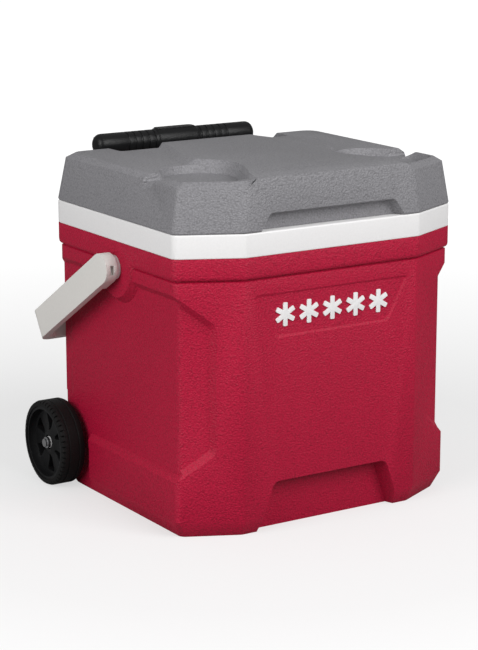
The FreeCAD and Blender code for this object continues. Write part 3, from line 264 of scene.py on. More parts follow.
def mouldedGroup():
    # fine pebble grain with painted shade in its valleys, soft colour drift and uneven sheen, shared by the
    # plastics
    group = bpy.data.node_groups.new("mouldedSurface", "ShaderNodeTree")
    for name, kind in (("Colour", "NodeSocketColor"), ("Shade", "NodeSocketColor"),
                       ("GrainScale", "NodeSocketFloat"), ("GrainDepth", "NodeSocketFloat"),
                       ("PitShade", "NodeSocketFloat"),
                       ("SheenLow", "NodeSocketFloat"), ("SheenHigh", "NodeSocketFloat")):
        group.interface.new_socket(name, in_out="INPUT", socket_type=kind)
    for name, kind in (("Color", "NodeSocketColor"), ("Roughness", "NodeSocketFloat"),
                       ("Normal", "NodeSocketVector")):
        group.interface.new_socket(name, in_out="OUTPUT", socket_type=kind)
    nodes, links = group.nodes, group.links
    ins = nodes.new("NodeGroupInput")
    outs = nodes.new("NodeGroupOutput")
    place = nodes.new("ShaderNodeTexCoord")
    drift = nodes.new("ShaderNodeTexNoise")
    drift.inputs["Scale"].default_value = 9
    drift.inputs["Detail"].default_value = 3
    mix = nodes.new("ShaderNodeMix")
    mix.data_type = "RGBA"
    spread = nodes.new("ShaderNodeMapRange")
    grain = nodes.new("ShaderNodeTexVoronoi")
    grain.feature = "SMOOTH_F1"
    fine = nodes.new("ShaderNodeTexNoise")
    fine.inputs["Detail"].default_value = 2
    both = nodes.new("ShaderNodeMath")
    both.operation = "ADD"
    bump = nodes.new("ShaderNodeBump")
    bump.inputs["Distance"].default_value = 0.0007
    links.new(place.outputs["Object"], drift.inputs["Vector"])
    links.new(place.outputs["Object"], grain.inputs["Vector"])
    links.new(place.outputs["Object"], fine.inputs["Vector"])
    links.new(ins.outputs["GrainScale"], grain.inputs["Scale"])
    links.new(ins.outputs["GrainScale"], fine.inputs["Scale"])
    links.new(drift.outputs["Fac"], mix.inputs["Factor"])
    links.new(ins.outputs["Colour"], mix.inputs["A"])
    links.new(ins.outputs["Shade"], mix.inputs["B"])
    # painted shade: the valleys between the pebbles are darkened as if shade fell in them
    pitShadeAmount = nodes.new("ShaderNodeMath")
    pitShadeAmount.operation = "MULTIPLY"
    dark = nodes.new("ShaderNodeMix")
    dark.data_type = "RGBA"
    dark.blend_type = "MULTIPLY"
    dark.inputs["B"].default_value = (0, 0, 0, 1)
    links.new(grain.outputs["Distance"], pitShadeAmount.inputs[0])
    links.new(ins.outputs["PitShade"], pitShadeAmount.inputs[1])
    links.new(pitShadeAmount.outputs["Value"], dark.inputs["Factor"])
    links.new(mix.outputs["Result"], dark.inputs["A"])
    links.new(dark.outputs["Result"], outs.inputs["Color"])
    links.new(drift.outputs["Fac"], spread.inputs["Value"])
    links.new(ins.outputs["SheenLow"], spread.inputs["To Min"])
    links.new(ins.outputs["SheenHigh"], spread.inputs["To Max"])
    links.new(spread.outputs["Result"], outs.inputs["Roughness"])
    links.new(grain.outputs["Distance"], both.inputs[0])
    links.new(fine.outputs["Fac"], both.inputs[1])
    links.new(both.outputs["Value"], bump.inputs["Height"])
    links.new(ins.outputs["GrainDepth"], bump.inputs["Strength"])
    links.new(bump.outputs["Normal"], outs.inputs["Normal"])
    return group


moulded = mouldedGroup()


def plastic(name, finish):
    # a moulded plastic with the shared grain and its own colours
    material = bpy.data.materials.new(name)
    material.use_nodes = True
    nodes, links = material.node_tree.nodes, material.node_tree.links
    shader = nodes["Principled BSDF"]
    surface = nodes.new("ShaderNodeGroup")
    surface.node_tree = moulded
    surface.inputs["Colour"].default_value = (*finish["colour"], 1)
    surface.inputs["Shade"].default_value = (*finish["shade"], 1)
    surface.inputs["GrainScale"].default_value = finish["grain"]
    surface.inputs["GrainDepth"].default_value = finish["depth"]
    # how strongly painted shade darkens the grain's valleys
    surface.inputs["PitShade"].default_value = finish.get("pitShade", 0.05)
    surface.inputs["SheenLow"].default_value = finish["rough"][0]
    surface.inputs["SheenHigh"].default_value = finish["rough"][1]
    for out, socket in (("Color", "Base Color"), ("Roughness", "Roughness"), ("Normal", "Normal")):
        links.new(surface.outputs[out], shader.inputs[socket])
    shader.inputs["Metallic"].default_value = finish.get("metal", 0)
    shader.inputs["IOR"].default_value = 1.48
    shader.inputs["Specular IOR Level"].default_value = finish["gloss"]
    return material


# in the red and grey finishes one value sets how much painted shade darkens the grain's valleys
finishes = {
    "red": {"colour": (0.52, 0.0045, 0.044), "shade": (0.47, 0.0035, 0.038), "grain": 560,
            "depth": 1.0, "rough": (0.46, 0.56), "gloss": 0.3, "pitShade": 0.5},
    "white": {"colour": (0.82, 0.81, 0.81), "shade": (0.78, 0.77, 0.77), "grain": 500,
              "depth": 0.08, "rough": (0.34, 0.44), "gloss": 0.4},
    "grey": {"colour": (0.275, 0.27, 0.285), "shade": (0.25, 0.245, 0.26), "grain": 520,
             "depth": 1.0, "rough": (0.42, 0.54), "gloss": 0.4, "pitShade": 0.45},
    "bail": {"colour": (0.74, 0.72, 0.69), "shade": (0.69, 0.67, 0.64), "grain": 500,
             "depth": 0.08, "rough": (0.36, 0.48), "gloss": 0.4},
    "black": {"colour": (0.006, 0.006, 0.0065), "shade": (0.009, 0.009, 0.0095), "grain": 700,
              "depth": 0.25, "rough": (0.28, 0.40), "gloss": 0.22},
    "tread": {"colour": (0.007, 0.007, 0.007), "shade": (0.011, 0.0105, 0.0105), "grain": 500,
              "depth": 0.3, "rough": (0.46, 0.60), "gloss": 0.14},
    "steel": {"colour": (0.62, 0.62, 0.63), "shade": (0.5, 0.5, 0.51), "grain": 300,
              "depth": 0.05, "rough": (0.18, 0.32), "gloss": 0.5, "metal": 1},
    "darkTube": {"colour": (0.03, 0.03, 0.032), "shade": (0.02, 0.02, 0.022), "grain": 400,
                 "depth": 0.1, "rough": (0.25, 0.36), "gloss": 0.5},
    "foam": {"colour": (0.78, 0.68, 0.42), "shade": (0.70, 0.60, 0.36), "grain": 300,
             "depth": 0.8, "rough": (0.75, 0.9), "gloss": 0.3},
}
materials = {name: plastic(name + "Finish", finish) for name, finish in finishes.items()}
slotFinish = {"red_shell": "red", "white_plastic": "white", "grey_lid": "grey",
              "bail_plastic": "bail", "black_plastic": "black", "tread": "tread",
              "steel": "steel", "dark_tube": "darkTube", "foam": "foam"}


def finishCadNodes():
    slots = {part["node"]: part["material_slot"] for part in frame["record"]["subparts"]}
    for name, node in frame["nodes"].items():
        node.data.materials.clear()
        node.data.materials.append(materials[slotFinish[slots[name]]])


# camera, light and floor

def makeCamera():
    yaw, pitch = math.radians(view["yaw"]), math.radians(view["pitch"])
    back = Vector((-math.sin(yaw) * math.cos(pitch), -math.cos(yaw) * math.cos(pitch),
                   math.sin(pitch)))
    data = bpy.data.cameras.new("camera")
    data.lens = view["lens"]
    data.shift_x, data.shift_y = view["shift"]
    data.clip_end = 20
    camera = bpy.data.objects.new("camera", data)
    bpy.context.scene.collection.objects.link(camera)
    camera.location = (Vector(view["target"]) + back * view["distance"]) * 0.001
    camera.rotation_euler = (-back).to_track_quat("-Z", "Y").to_euler()
    bpy.context.scene.camera = camera


def areaLight(name, place, target, size, power):
    data = bpy.data.lights.new(name, "AREA")
    data.shape = "SQUARE"
    data.size = size
    data.energy = power
    lamp = bpy.data.objects.new(name, data)
    bpy.context.scene.collection.objects.link(lamp)
    lamp.location = place
    lamp.rotation_euler = (Vector(target) - Vector(place)).to_track_quat("-Z", "Y").to_euler()


studio = {"sky": 0.28, "backdrop": 1.0, "floorShade": 0.28, "glowNear": 0.61, "glowFar": 0.96,
          "glowStart": 0.45, "glowEnd": 1.9, "floorSize": 30,
          "keyPlace": (0.6, -2.2, 1.8), "keySize": 1.8, "keyPower": 61,
          "sidePlace": (-2.4, -0.6, 1.3), "sideSize": 1.6, "sidePower": 45,
          "topPlace": (0.3, 0.3, 2.6), "topSize": 1.8, "topPower": 2}


def seenByCamera(tree, low, high):
    # a strength that is high for the plain background and low for the light it gives
    path = tree.nodes.new("ShaderNodeLightPath")
    lift = tree.nodes.new("ShaderNodeMath")
    lift.operation = "MULTIPLY_ADD"
    lift.inputs[1].default_value = high - low
    lift.inputs[2].default_value = low
    tree.links.new(path.outputs["Is Camera Ray"], lift.inputs[0])
    return lift.outputs["Value"]


def makeStudio():
    world = bpy.data.worlds.new("studio")
    world.use_nodes = True
    sky = world.node_tree.nodes["Background"]
    sky.inputs["Color"].default_value = (1, 1, 1, 1)
    world.node_tree.links.new(seenByCamera(world.node_tree, studio["sky"], studio["backdrop"]),
                              sky.inputs["Strength"])
    bpy.context.scene.world = world
    bpy.context.scene.view_settings.view_transform = "Standard"
    middle = (0, 0, 0.2)
    areaLight("keyLight", studio["keyPlace"], middle, studio["keySize"], studio["keyPower"])
    areaLight("sideLight", studio["sidePlace"], middle, studio["sideSize"], studio["sidePower"])
    areaLight("topLight", studio["topPlace"], middle, studio["topSize"], studio["topPower"])
    bm = bmesh.new()
    bmesh.ops.create_grid(bm, x_segments=1, y_segments=1, size=studio["floorSize"])
    floor = asObject(bm, "floor")
    paper = bpy.data.materials.new("paper")
    paper.use_nodes = True
    shader = paper.node_tree.nodes["Principled BSDF"]
    shader.inputs["Base Color"].default_value = (*[studio["floorShade"]] * 3, 1)
    shader.inputs["Roughness"].default_value = 0.9
    shader.inputs["Emission Color"].default_value = (1, 1, 1, 1)
    # the paper brightens away from the object, so that its edge meets the backdrop unseen
    nodes, links = paper.node_tree.nodes, paper.node_tree.links
    place = nodes.new("ShaderNodeTexCoord")
    away = nodes.new("ShaderNodeVectorMath")
    away.operation = "LENGTH"
    glow = nodes.new("ShaderNodeMapRange")
    glow.inputs["From Min"].default_value = studio["glowStart"]
    glow.inputs["From Max"].default_value = studio["glowEnd"]
    glow.inputs["To Min"].default_value = studio["glowNear"]
    glow.inputs["To Max"].default_value = studio["glowFar"]
    seen = nodes.new("ShaderNodeMath")
    seen.operation = "MULTIPLY"
    links.new(place.outputs["Object"], away.inputs[0])
    links.new(away.outputs["Value"], glow.inputs["Value"])
    links.new(glow.outputs["Result"], seen.inputs[0])
    links.new(seenByCamera(paper.node_tree, 0, 1), seen.inputs[1])
    links.new(seen.outputs["Value"], shader.inputs["Emission Strength"])
    floor.data.materials.append(paper)


# the red shell

def sidePanelCutters():
    # the sunk panel on the right side and its part on the facet
    inset = shell["inset"]
    sideCorner = outline(inset)[1]
    frontCorner = outline(inset)[0]
    faceX = sideX - inset
    reach = shell["panelDepth"] + shell["panelExtra"]
    top, bottom = shell["panelTop"], shell["panelBottom"]
    overlap = shell["panelOverlap"]
    past = sideCorner.y - overlap
    side = sunkPanel([(past, bottom), (backY + 12, bottom), (backY + 12, top), (past, top)],
                     [0, 0, 0, 0], lambda u, v: (faceX, u, v), Vector((1, 0, 0)),
                     reach, shell["panelSlope"])
    along = (frontCorner - sideCorner).normalized()
    outward = Vector((-along.y, along.x, 0))
    outward = outward if outward.y < 0 else -outward
    run = shell["facetRun"]
    points = [(run, shell["facetBottom"]), (run, shell["facetTop"]), (0, top), (-overlap, top),
              (-overlap, bottom), (0, bottom)]
    facet = sunkPanel(points, [shell["panelRound"], shell["panelRound"], 0, 0, 0, 0],
                      lambda u, v: (sideCorner.x + along.x * u, sideCorner.y + along.y * u, v),
                      outward, reach, shell["panelSlope"])
    return side, facet


def makeShell():
    inset, foot = shell["inset"], shell["footInset"]
    collar, groove = shell["collarBottom"], shell["grooveDepth"]
    rings = [(inset + foot, 0), (inset, shell["footHeight"]), (inset, collar - 2.5),
             (inset + groove * 0.6, collar - 1.6), (inset + groove * 0.6, collar - 0.4),
             (1.5, collar + 0.6), (0.4, collar + 2.2), (0, collar + shell["collarRound"]),
             (0, rimBottom)]
    piece = asObject(ringStack([(outline(i), z) for i, z in rings], planRounds), "bodyShell")
    side, facet = sidePanelCutters()
    cutBoth(piece, side)
    cutBoth(piece, facet)
    deep = inset + shell["panelDepth"]
    core = ringStack([(outline(deep), shell["coreBottom"]),
                      (outline(deep), collar - shell["coreBelowCollar"])], planRounds)
    combine(piece, core, "UNION")
    addBosses(piece)
    cutWells(piece)
    cutFront(piece)
    gap = shell["hollowGap"]
    half, front = tub["half"] + gap, frontY + tub["frontInset"] - gap
    back = front + tub["length"] + 2 * gap
    hollow = prism([(-half, front), (half, front), (half, back), (-half, back)], [tub["round"]] * 4,
                   level(tub["floor"] - gap), Vector((0, 0, wellAbove)))
    combine(piece, hollow, "DIFFERENCE")
    finishPiece(piece, "root", materials["red"], ["body_shell"], shell["edge"])


def addBosses(piece):
    # round bosses under the bail's pivots, with a sloping skirt onto the sunk panel
    depth = shell["inset"] + shell["panelDepth"] + 1
    radius, skirt = shell["bossRadius"], shell["bossSkirt"]
    for sign in (1, -1):
        x = sign * (sideX - depth / 2)
        wide, slim = (radius + skirt, radius) if sign > 0 else (radius, radius + skirt)
        boss = cylinder((x, pivot.y, pivot.z), "x", wide, slim, depth, 72)
        geom = list(boss.verts) + list(boss.edges) + list(boss.faces)
        cut = bmesh.ops.bisect_plane(boss, geom=geom, plane_co=(0, 0, rimBottom - 8),
                                     plane_no=(0, 0, 1), clear_outer=True)["geom_cut"]
        bmesh.ops.edgeloop_fill(boss, edges=[e for e in cut if isinstance(e, bmesh.types.BMEdge)])
        bmesh.ops.recalc_face_normals(boss, faces=boss.faces)
        combine(piece, boss, "UNION")


def cutWells(piece):
    # wheel wells, and the open step for the axle under the rear edge
    floorX = sideX - shell["inset"] - shell["wellDepth"]
    radius = shell["wellRadius"]
    well = cylinder((floorX + 20, wheelPlace.y, wheelPlace.z), "x", radius, radius, 40, 96)
    cutBoth(piece, well)
    behind = prism([(wheelPlace.y - radius, -5), (backY + 5, -5), (backY + 5, wheelPlace.z),
                    (wheelPlace.y - radius, wheelPlace.z)], [0] * 4,
                   lambda u, v: (floorX, u, v), Vector((40, 0, 0)))
    cutBoth(piece, behind)
    half, top = floorX - shell["tunnelInset"], shell["tunnelTop"]
    tunnel = prism([(-half, -5), (half, -5), (half, top), (-half, top)], [0, 0, 8, 8],
                   lambda u, v: (u, wheelPlace.y - shell["tunnelAhead"], v), Vector((0, 60, 0)))
    combine(piece, tunnel, "DIFFERENCE")


def cutFront(piece):
    # the hand recess in the base and the badge panel
    face = frontY + shell["inset"]
    outward = Vector((0, -1, 0))
    spread = 6
    low = shell["handLow"] + 14
    hand = sunkPanel([(-low, -40), (low, -40), (shell["handHigh"], shell["handTop"]),
                      (-shell["handHigh"], shell["handTop"])], [0, 0, 10, 10],
                     lambda u, v: (u, face, v), outward, shell["handDepth"], spread)
    combine(piece, hand, "DIFFERENCE")
    badge = sunkPanel([(-shell["badgeBottomHalf"], shell["badgeBottom"]),
                       (shell["badgeBottomHalf"], shell["badgeBottom"]),
                       (shell["badgeTopHalf"], shell["badgeTop"]),
                       (-shell["badgeTopHalf"], shell["badgeTop"])], [8, 8, 4, 4],
                      lambda u, v: (u, face, v), outward, shell["badgeDepth"], 2.5)
    combine(piece, badge, "DIFFERENCE")


# the white rim and tub

def makeRim():
    band = ringStack([(outline(0.6), rimBottom), (outline(), rimBottom + 1),
                      (outline(), rimTop - 1.4), (outline(0.9), rimTop)], planRounds)
    piece = asObject(band, "rimAndTub")
    front = frontY + tub["frontInset"]
    back = front + tub["length"]

    def box(grow):
        half = tub["half"] + grow
        return [(-half, front - grow), (half, front - grow), (half, back + grow),
                (-half, back + grow)]
    wall = tub["wall"]
    outside = prism(box(wall), [tub["round"] + wall] * 4, level(tub["floor"] - wall),
                    Vector((0, 0, rimTop - 6 - tub["floor"] + wall)))
    combine(piece, outside, "UNION")
    inside = prism(box(0), [tub["round"]] * 4, level(tub["floor"]), Vector((0, 0, wellAbove)))
    combine(piece, inside, "DIFFERENCE")
    finishPiece(piece, "root", materials["white"], ["liner"], tub["edge"])


# the lid

def makeLid():
    side, front, bevel = lid["sideDraft"], lid["frontDraft"], lid["bevel"]
    bottom, wallTop, shoulder = lidLow.z, lid["wallTop"], lid["shoulder"]
    steep = (lidHigh.z + 4 - bottom) / (wallTop - bottom)
    facet = lid["facetDraft"]
    draft = [inset * steep for inset in (side, front, front, facet)]
    envelope = ringStack([(outline(0.8), bottom), (outline(0), bottom + 1.6),
                          (outline(*draft), lidHigh.z + 4)], planRounds)
    piece = asObject(envelope, "lidShell")
    # the sloped band goes on outside the wall, so that it meets the wall in a clean edge
    rise = (shoulder - wallTop) / bevel
    rings = [(outline(-20), bottom - 9), (outline(-20), wallTop - rise * (side + 20)),
             (outline(side + bevel, front + bevel, front + bevel, facet + bevel), shoulder)]
    top = asObject(ringStack(rings, planRounds), "lidTop")
    combine(top, crownSolid(), "UNION")
    combine(piece, top, "INTERSECT")
    cutCups(piece)
    notchY = backY - lid["notchDepth"]
    notch = prism([(-lid["notchHalf"], notchY), (lid["notchHalf"], notchY),
                   (lid["notchHalf"] + 2, backY + 20), (-lid["notchHalf"] - 2, backY + 20)],
                  [6, 6, 0, 0], level(lid["notchFloor"]), Vector((0, 0, 80)))
    combine(piece, notch, "DIFFERENCE")
    low = bottom - 20
    spread = (lid["grabHalf"] - lid["grabTopHalf"]) / lid["grabHeight"]
    lowHalf = lid["grabHalf"] + 20 * spread
    grab = sunkPanel([(-lowHalf, low), (lowHalf, low),
                      (lid["grabTopHalf"], bottom + lid["grabHeight"]),
                      (-lid["grabTopHalf"], bottom + lid["grabHeight"])], [0, 0, 9, 9],
                     lambda u, v: (u, frontY, v), Vector((0, -1, 0)), lid["grabDepth"], 5)
    combine(piece, grab, "DIFFERENCE")
    panelLow, panelHigh = millimetres("lid_panel")
    recess = prism([(panelLow.x, frontY + 18), (panelHigh.x, frontY + 18),
                    (panelHigh.x, panelHigh.y), (panelLow.x, panelHigh.y)], [30, 30, 4, 4],
                   level(bottom - 5), Vector((0, 0, panelHigh.z - bottom + 5.4)))
    combine(piece, recess, "DIFFERENCE")
    finishPiece(piece, "lid", materials["grey"], ["lid_shell"], lid["edge"])


# the crown's outline on the right: top edge and foot, each (x, distance from the front), then its
# rounding
crownEdge = [((101, -12), (119.5, -12), 0), ((93, 31), (101, 27), 30), ((72, 82), (78, 80), 0),
             ((85, 128), (91, 126), 0), ((95, 146), (119, 146), 8), ((93, 165), (121, 160), 20),
             ((92, 180), (118, 178), 20), ((78, 216), (98, 224), 60), ((64, 262), (76, 266), 40),
             ((62, 285), (72, 285), 0)]


def crownSolid():
    # the raised middle of the lid, gently lower towards its front edge
    rings = []
    for which, z in ((1, lidLow.z - 6), (1, lid["wallTop"] - 1.3), (0, lidHigh.z - 0.1)):
        right = [(spot[which][0], frontY + spot[which][1]) for spot in crownEdge]
        rings.append((right + [(-x, y) for x, y in reversed(right)], z))
    rounds = [spot[2] for spot in crownEdge]
    crown = asObject(ringStack(rings, rounds + rounds[::-1]), "crown")
    fall = prism([(frontY - 20, 405.2), (frontY + 48, 411), (frontY + 48, 425), (frontY - 20, 425)],
                 [0] * 4, lambda u, v: (-150, u, v), Vector((300, 0, 0)))
    combine(crown, fall, "DIFFERENCE")
    return crown


def cutCups(piece):
    # cup holders that open forwards to the facet's lip, each with a drain to the side
    floor, front, x = lid["cupFloor"], frontY, lid["cupX"]
    middle = front + lid["cupFromFront"]
    small, wide = lid["cupFootRadius"], lid["cupTopRadius"]
    cutBoth(piece, cylinder((x, middle, floor + 8), "z", small, wide, 16, 96))
    frontCorner, sideCorner = outline(lid["lipInset"])[:2]
    frontTop, sideTop = outline(lid["lipInset"] - 2)[:2]
    foot = [(x - small, middle), (97, front + 30), (frontCorner.x + 9, frontCorner.y + 1),
            (sideCorner.x - 4, sideCorner.y), (sideCorner.x - 4, front + 84), (x + 36, middle)]
    high = [(x - small - 4, middle), (95, front + 25), (frontTop.x + 7, frontTop.y + 2),
            (sideTop.x - 3, sideTop.y), (sideTop.x - 3, front + 84), (x + 40, middle)]
    tray = ringStack([(foot, floor), (high, floor + 16)], [0, 10, 10, 14, 14, 0])
    cutBoth(piece, tray)
    rear, low, high = front + lid["drainRear"], front + lid["drainFront"], front + lid["drainTop"]
    over = lid["cutTop"]
    drain = prism([(rear, floor), (low, floor), (high, lid["shoulder"] + 0.6), (high, over),
                   (rear + 1, over)], [3, 6, 0, 0, 0], lambda u, v: (x, u, v), Vector((80, 0, 0)))
    cutBoth(piece, drain)
    spout = prism([(sideX - 16, floor + 0.5), (sideX, lid["spoutFloor"] - 6),
                   (sideX + 8, floor + 0.5)], [0] * 3, lambda u, v: (u, low - 2, v),
                  Vector((0, rear - low + 1, 0)))
    cutBoth(piece, spout)


# the bail

bail = {"inner": 187.6, "bar": 6.5, "width": 35, "armIn": 196, "armOut": 210, "corner": 16,
        "angle": 31.6, "relief": 8.5, "pastHub": 3, "beforeBar": 12, "lip": 5, "lipRise": 3.5,
        "pin": 7.2, "socket": 10, "slotWidth": 4.5, "slotLength": 11, "slotDepth": 7, "edge": 1.4}


def makeBail():
    # a U of strap, drawn flat from the pivot along Y, then turned down behind the body
    outer, inner, half = bail["inner"] + bail["bar"], bail["inner"], bail["width"] / 2
    far, near = bail["armOut"], bail["armIn"]
    turn = bail["corner"]
    shape = [(-far, -half), (-near, -half), (-near, inner), (near, inner), (near, -half),
             (far, -half), (far, outer), (-far, outer)]
    strap = prism(shape, [0, 0, turn - bail["bar"], turn - bail["bar"], 0, 0, turn, turn],
                  level(-half), Vector((0, 0, bail["width"])), 10)
    piece = asObject(strap, "bailStrap")
    side = prism([(-half, -half), (outer + 5, -half), (outer + 5, half), (-half, half)],
                 [half - 0.01, 0, 0, half - 0.01], lambda u, v: (-far - 5, u, v),
                 Vector((2 * far + 10, 0, 0)), 20)
    combine(piece, side, "INTERSECT")
    # thin straps below the hubs, with a shallow trough that leaves a lip along both edges
    start, end = half + bail["pastHub"], inner - bail["beforeBar"]
    lip = half - bail["lip"]
    for sign in (1, -1):
        thin = prism([(start, -half - 5), (end, -half - 5), (end, half + 5), (start, half + 5)],
                     [8] * 4, lambda u, v: (sign * (near - 4), u, v),
                     Vector((sign * (bail["relief"] - bail["lipRise"] + 4), 0, 0)))
        combine(piece, thin, "DIFFERENCE")
        trough = prism([(start + 2, -lip), (end, -lip), (end, lip), (start + 2, lip)], [5] * 4,
                       lambda u, v: (sign * (near - 4), u, v),
                       Vector((sign * (bail["relief"] + 4), 0, 0)))
        combine(piece, trough, "DIFFERENCE")
        socket = cylinder((sign * (near + bail["socket"] / 2 - 1), 0, 0), "x", bail["pin"],
                          bail["pin"], bail["socket"] + 2, 48)
        combine(piece, socket, "DIFFERENCE")
        # the slot in the hub's edge, where the snap of the pin shows
        tall, deep = bail["slotLength"] / 2, bail["slotDepth"] - half
        slot = prism([(-half - 4, -tall), (deep, -tall), (deep, tall), (-half - 4, tall)],
                     [0, 1.5, 1.5, 0], lambda u, v: (sign * (near + 4), u, v),
                     Vector((sign * bail["slotWidth"], 0, 0)))
        bmesh.ops.rotate(slot, verts=slot.verts, cent=(0, 0, 0),
                         matrix=Matrix.Rotation(math.radians(bail["angle"]), 3, "X"))
        combine(piece, slot, "DIFFERENCE")
    place = Matrix.Translation(pivot) @ Matrix.Rotation(-math.radians(bail["angle"]), 4, "X")
    piece.data.transform(place)
    finishPiece(piece, "bail", materials["bail"], ["bail_handle"], bail["edge"])


# turned pieces

def turned(profile, centre, steps=64):
    # a solid turned about the X axis through a centre, from (x, radius) points
    bm = bmesh.new()
    verts = [bm.verts.new((x, 0, radius)) for x, radius in profile]
    edges = [bm.edges.new(ends) for ends in zip(verts, verts[1:])]
    bmesh.ops.spin(bm, geom=verts + edges, cent=(0, 0, 0), axis=(1, 0, 0), dvec=(0, 0, 0),
                   angle=math.tau, steps=steps, use_merge=True)
    bmesh.ops.remove_doubles(bm, verts=bm.verts, dist=0.001)
    bmesh.ops.translate(bm, verts=bm.verts, vec=centre)
    bmesh.ops.recalc_face_normals(bm, faces=bm.faces)
    return bm


bailPin = {"collarRadius": 13.5, "collarWidth": 1.6, "edge": 0.4}


def makePins():
    # pins that end inside the hubs, each with a thin collar beside the boss
    low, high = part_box("bail_pins")
    end = high.x * 1000
    r, collarX = bail["pin"] - 0.2, bail["armIn"] - 0.5 - bailPin["collarWidth"]
    profile = [(178, 0), (178, r), (collarX, r), (collarX, bailPin["collarRadius"]),
               (collarX + bailPin["collarWidth"], bailPin["collarRadius"]),
               (collarX + bailPin["collarWidth"], r), (end, r), (end, 0)]
    both = asObject(turned(profile, Vector((0, pivot.y, pivot.z))), "bailPins")
    combine(both, mirrorX(turned(profile, Vector((0, pivot.y, pivot.z)))), "UNION")
    finishPiece(both, "root", materials["bail"], ["bail_pins"], bailPin["edge"])


# grip and button

grip = {"ribs": 5, "ribStep": 9.5, "ribStart": 33, "groove": 1.3, "grooveWidth": 2.6, "endRound": 9,
        "padHalf": 29, "padRise": 1.4, "padEnd": 2, "socketWidth": 18, "socketRound": 5,
        "tubeRadius": 5.75, "tubeReach": 8, "wellGap": 0.4, "smooth": 40, "edge": 0.9}


def gripProfile(radius, half):
    # half of the grip's outline, from its round end to the middle
    points = []
    turn, steps = grip["endRound"], 6
    for step in range(steps + 1):
        angle = math.pi / 2 * step / steps
        points.append((-half + turn * (1 - math.cos(angle)),
                       radius - turn + turn * math.sin(angle)))
    points[0:0] = [(-half, 0)]
    start = grip["ribStart"] + (grip["ribs"] - 1) * grip["ribStep"]
    for rib in range(grip["ribs"]):
        x = -(start - rib * grip["ribStep"])
        wide, deep = grip["grooveWidth"] / 2, grip["groove"]
        points += [(x - wide, radius), (x - wide * 0.5, radius - deep),
                   (x + wide * 0.5, radius - deep), (x + wide, radius)]
    return points


def makeGrip():
    radius = (gripHigh.z - gripLow.z) / 2
    centre = Vector((0, gripLow.y + radius, gripHigh.z - radius))
    left = gripProfile(radius - 0.05, gripHigh.x)
    profile = left + [(-x, r) for x, r in reversed(left)]
    piece = asObject(turned(profile, centre, 72), "gripBar")
    # sockets for the two tubes
    tubeLow, tubeHigh = millimetres("upper_tubes")
    tubeY, wide = (tubeLow.y + tubeHigh.y) / 2, grip["socketWidth"] / 2
    for sign in (1, -1):
        x = sign * (tubeHigh.x - grip["tubeRadius"] + 0.05)
        socket = prism([(x - wide, centre.y), (x + wide, centre.y), (x + wide, gripHigh.y),
                        (x - wide, gripHigh.y)], [0, 0, grip["socketRound"], grip["socketRound"]],
                       level(gripLow.z), Vector((0, 0, radius * 1.4)))
        combine(piece, socket, "UNION")
        bore = cylinder((x, tubeY, gripLow.z), "z", grip["tubeRadius"], grip["tubeRadius"],
                        2 * grip["tubeReach"], 48)
        combine(piece, bore, "DIFFERENCE")
    # the raised pad round the button, and the button's well
    half, end = grip["padHalf"], grip["padHalf"] - grip["padEnd"]
    thick = radius + grip["padRise"]
    padShape = [(-half, 0), (-half, radius), (-end, thick), (end, thick), (half, radius), (half, 0)]
    combine(piece, turned(padShape, centre, 72), "UNION")
    low = Vector((buttonLow.x - grip["wellGap"], buttonLow.y - grip["wellGap"]))
    high = Vector((buttonHigh.x + grip["wellGap"], buttonHigh.y + grip["wellGap"]))
    well = prism([(low.x, low.y), (high.x, low.y), (high.x, high.y), (low.x, high.y)], [4.4] * 4,
                 level(centre.z + 1), Vector((0, 0, 40)))
    combine(piece, well, "DIFFERENCE")
    finishPiece(piece, "handle_top", materials["black"], ["grip"], grip["edge"],
                grip["smooth"])


button = {"round": 4, "slots": 3, "slotStep": 6, "slotRadius": 1.2, "slotLength": 9, "edge": 0.8}


def makeButton():
    low, high = buttonLow, buttonHigh
    cap = prism([(low.x, low.y), (high.x, low.y), (high.x, high.y), (low.x, high.y)],
                [button["round"]] * 4, level(low.z), Vector((0, 0, high.z - low.z)))
    piece = asObject(cap, "releaseButton")
    for step in range(-button["slots"], button["slots"] + 1):
        place = (step * button["slotStep"], (low.y + high.y) / 2, high.z + 0.5)
        slot = cylinder(place, "y", button["slotRadius"], button["slotRadius"],
                        button["slotLength"], 24)
        combine(piece, slot, "DIFFERENCE")
    finishPiece(piece, "button", materials["black"], ["release_button"],
                button["edge"])


# wheels

wheel = {"tread": 7, "shoulder": 4, "band": 8, "groove": 1, "rim": 3.5, "dish": 9, "hub": 14,
         "bore": 7.1, "windows": 6, "windowIn": 1.6, "windowOut": 9, "recess": 9, "recessDepth": 3,
         "lugs": 48, "lugWidth": 1.6, "lugDepth": 5, "lugTall": 5, "smooth": 40, "edge": 0.7}


def tyreSolid():
    # a tread with rounded shoulders and two fine grooves round it
    radius = (tyreHigh.z - tyreLow.z) / 2
    low, high, r = tyreLow.x, tyreHigh.x, radius - wheel["tread"]
    s, band, deep = wheel["shoulder"], wheel["band"], radius - wheel["groove"]
    profile = [(low, r), (low, radius - s), (low + s * 0.3, radius - s * 0.3), (low + s, radius),
               (low + band, radius), (low + band + 0.6, deep), (low + band + 1.6, deep),
               (low + band + 2.2, radius), (high - band - 2.2, radius), (high - band - 1.6, deep),
               (high - band - 0.6, deep), (high - band, radius), (high - s, radius),
               (high - s * 0.3, radius - s * 0.3), (high, radius - s), (high, r), (low, r)]
    return turned(profile, Vector((0, 0, 0)), 96), radius


def makeTyre(sign, name, body, node):
    bm, radius = tyreSolid()
    piece = asObject(bm, name)
    cutter = bmesh.new()
    for step in range(wheel["lugs"]):
        turn = Matrix.Rotation(math.tau * step / wheel["lugs"], 4, "X")
        place = turn @ Matrix.Translation((tyreHigh.x - wheel["lugDepth"] / 2 + 1, 0, radius - 1)) \
            @ Matrix.Diagonal((wheel["lugDepth"], wheel["lugWidth"], wheel["lugTall"], 1))
        bmesh.ops.create_cube(cutter, size=1, matrix=place)
    combine(piece, cutter, "DIFFERENCE")
    placeWheel(piece, sign)
    finishPiece(piece, body, materials["tread"], [node], 0, wheel["smooth"])


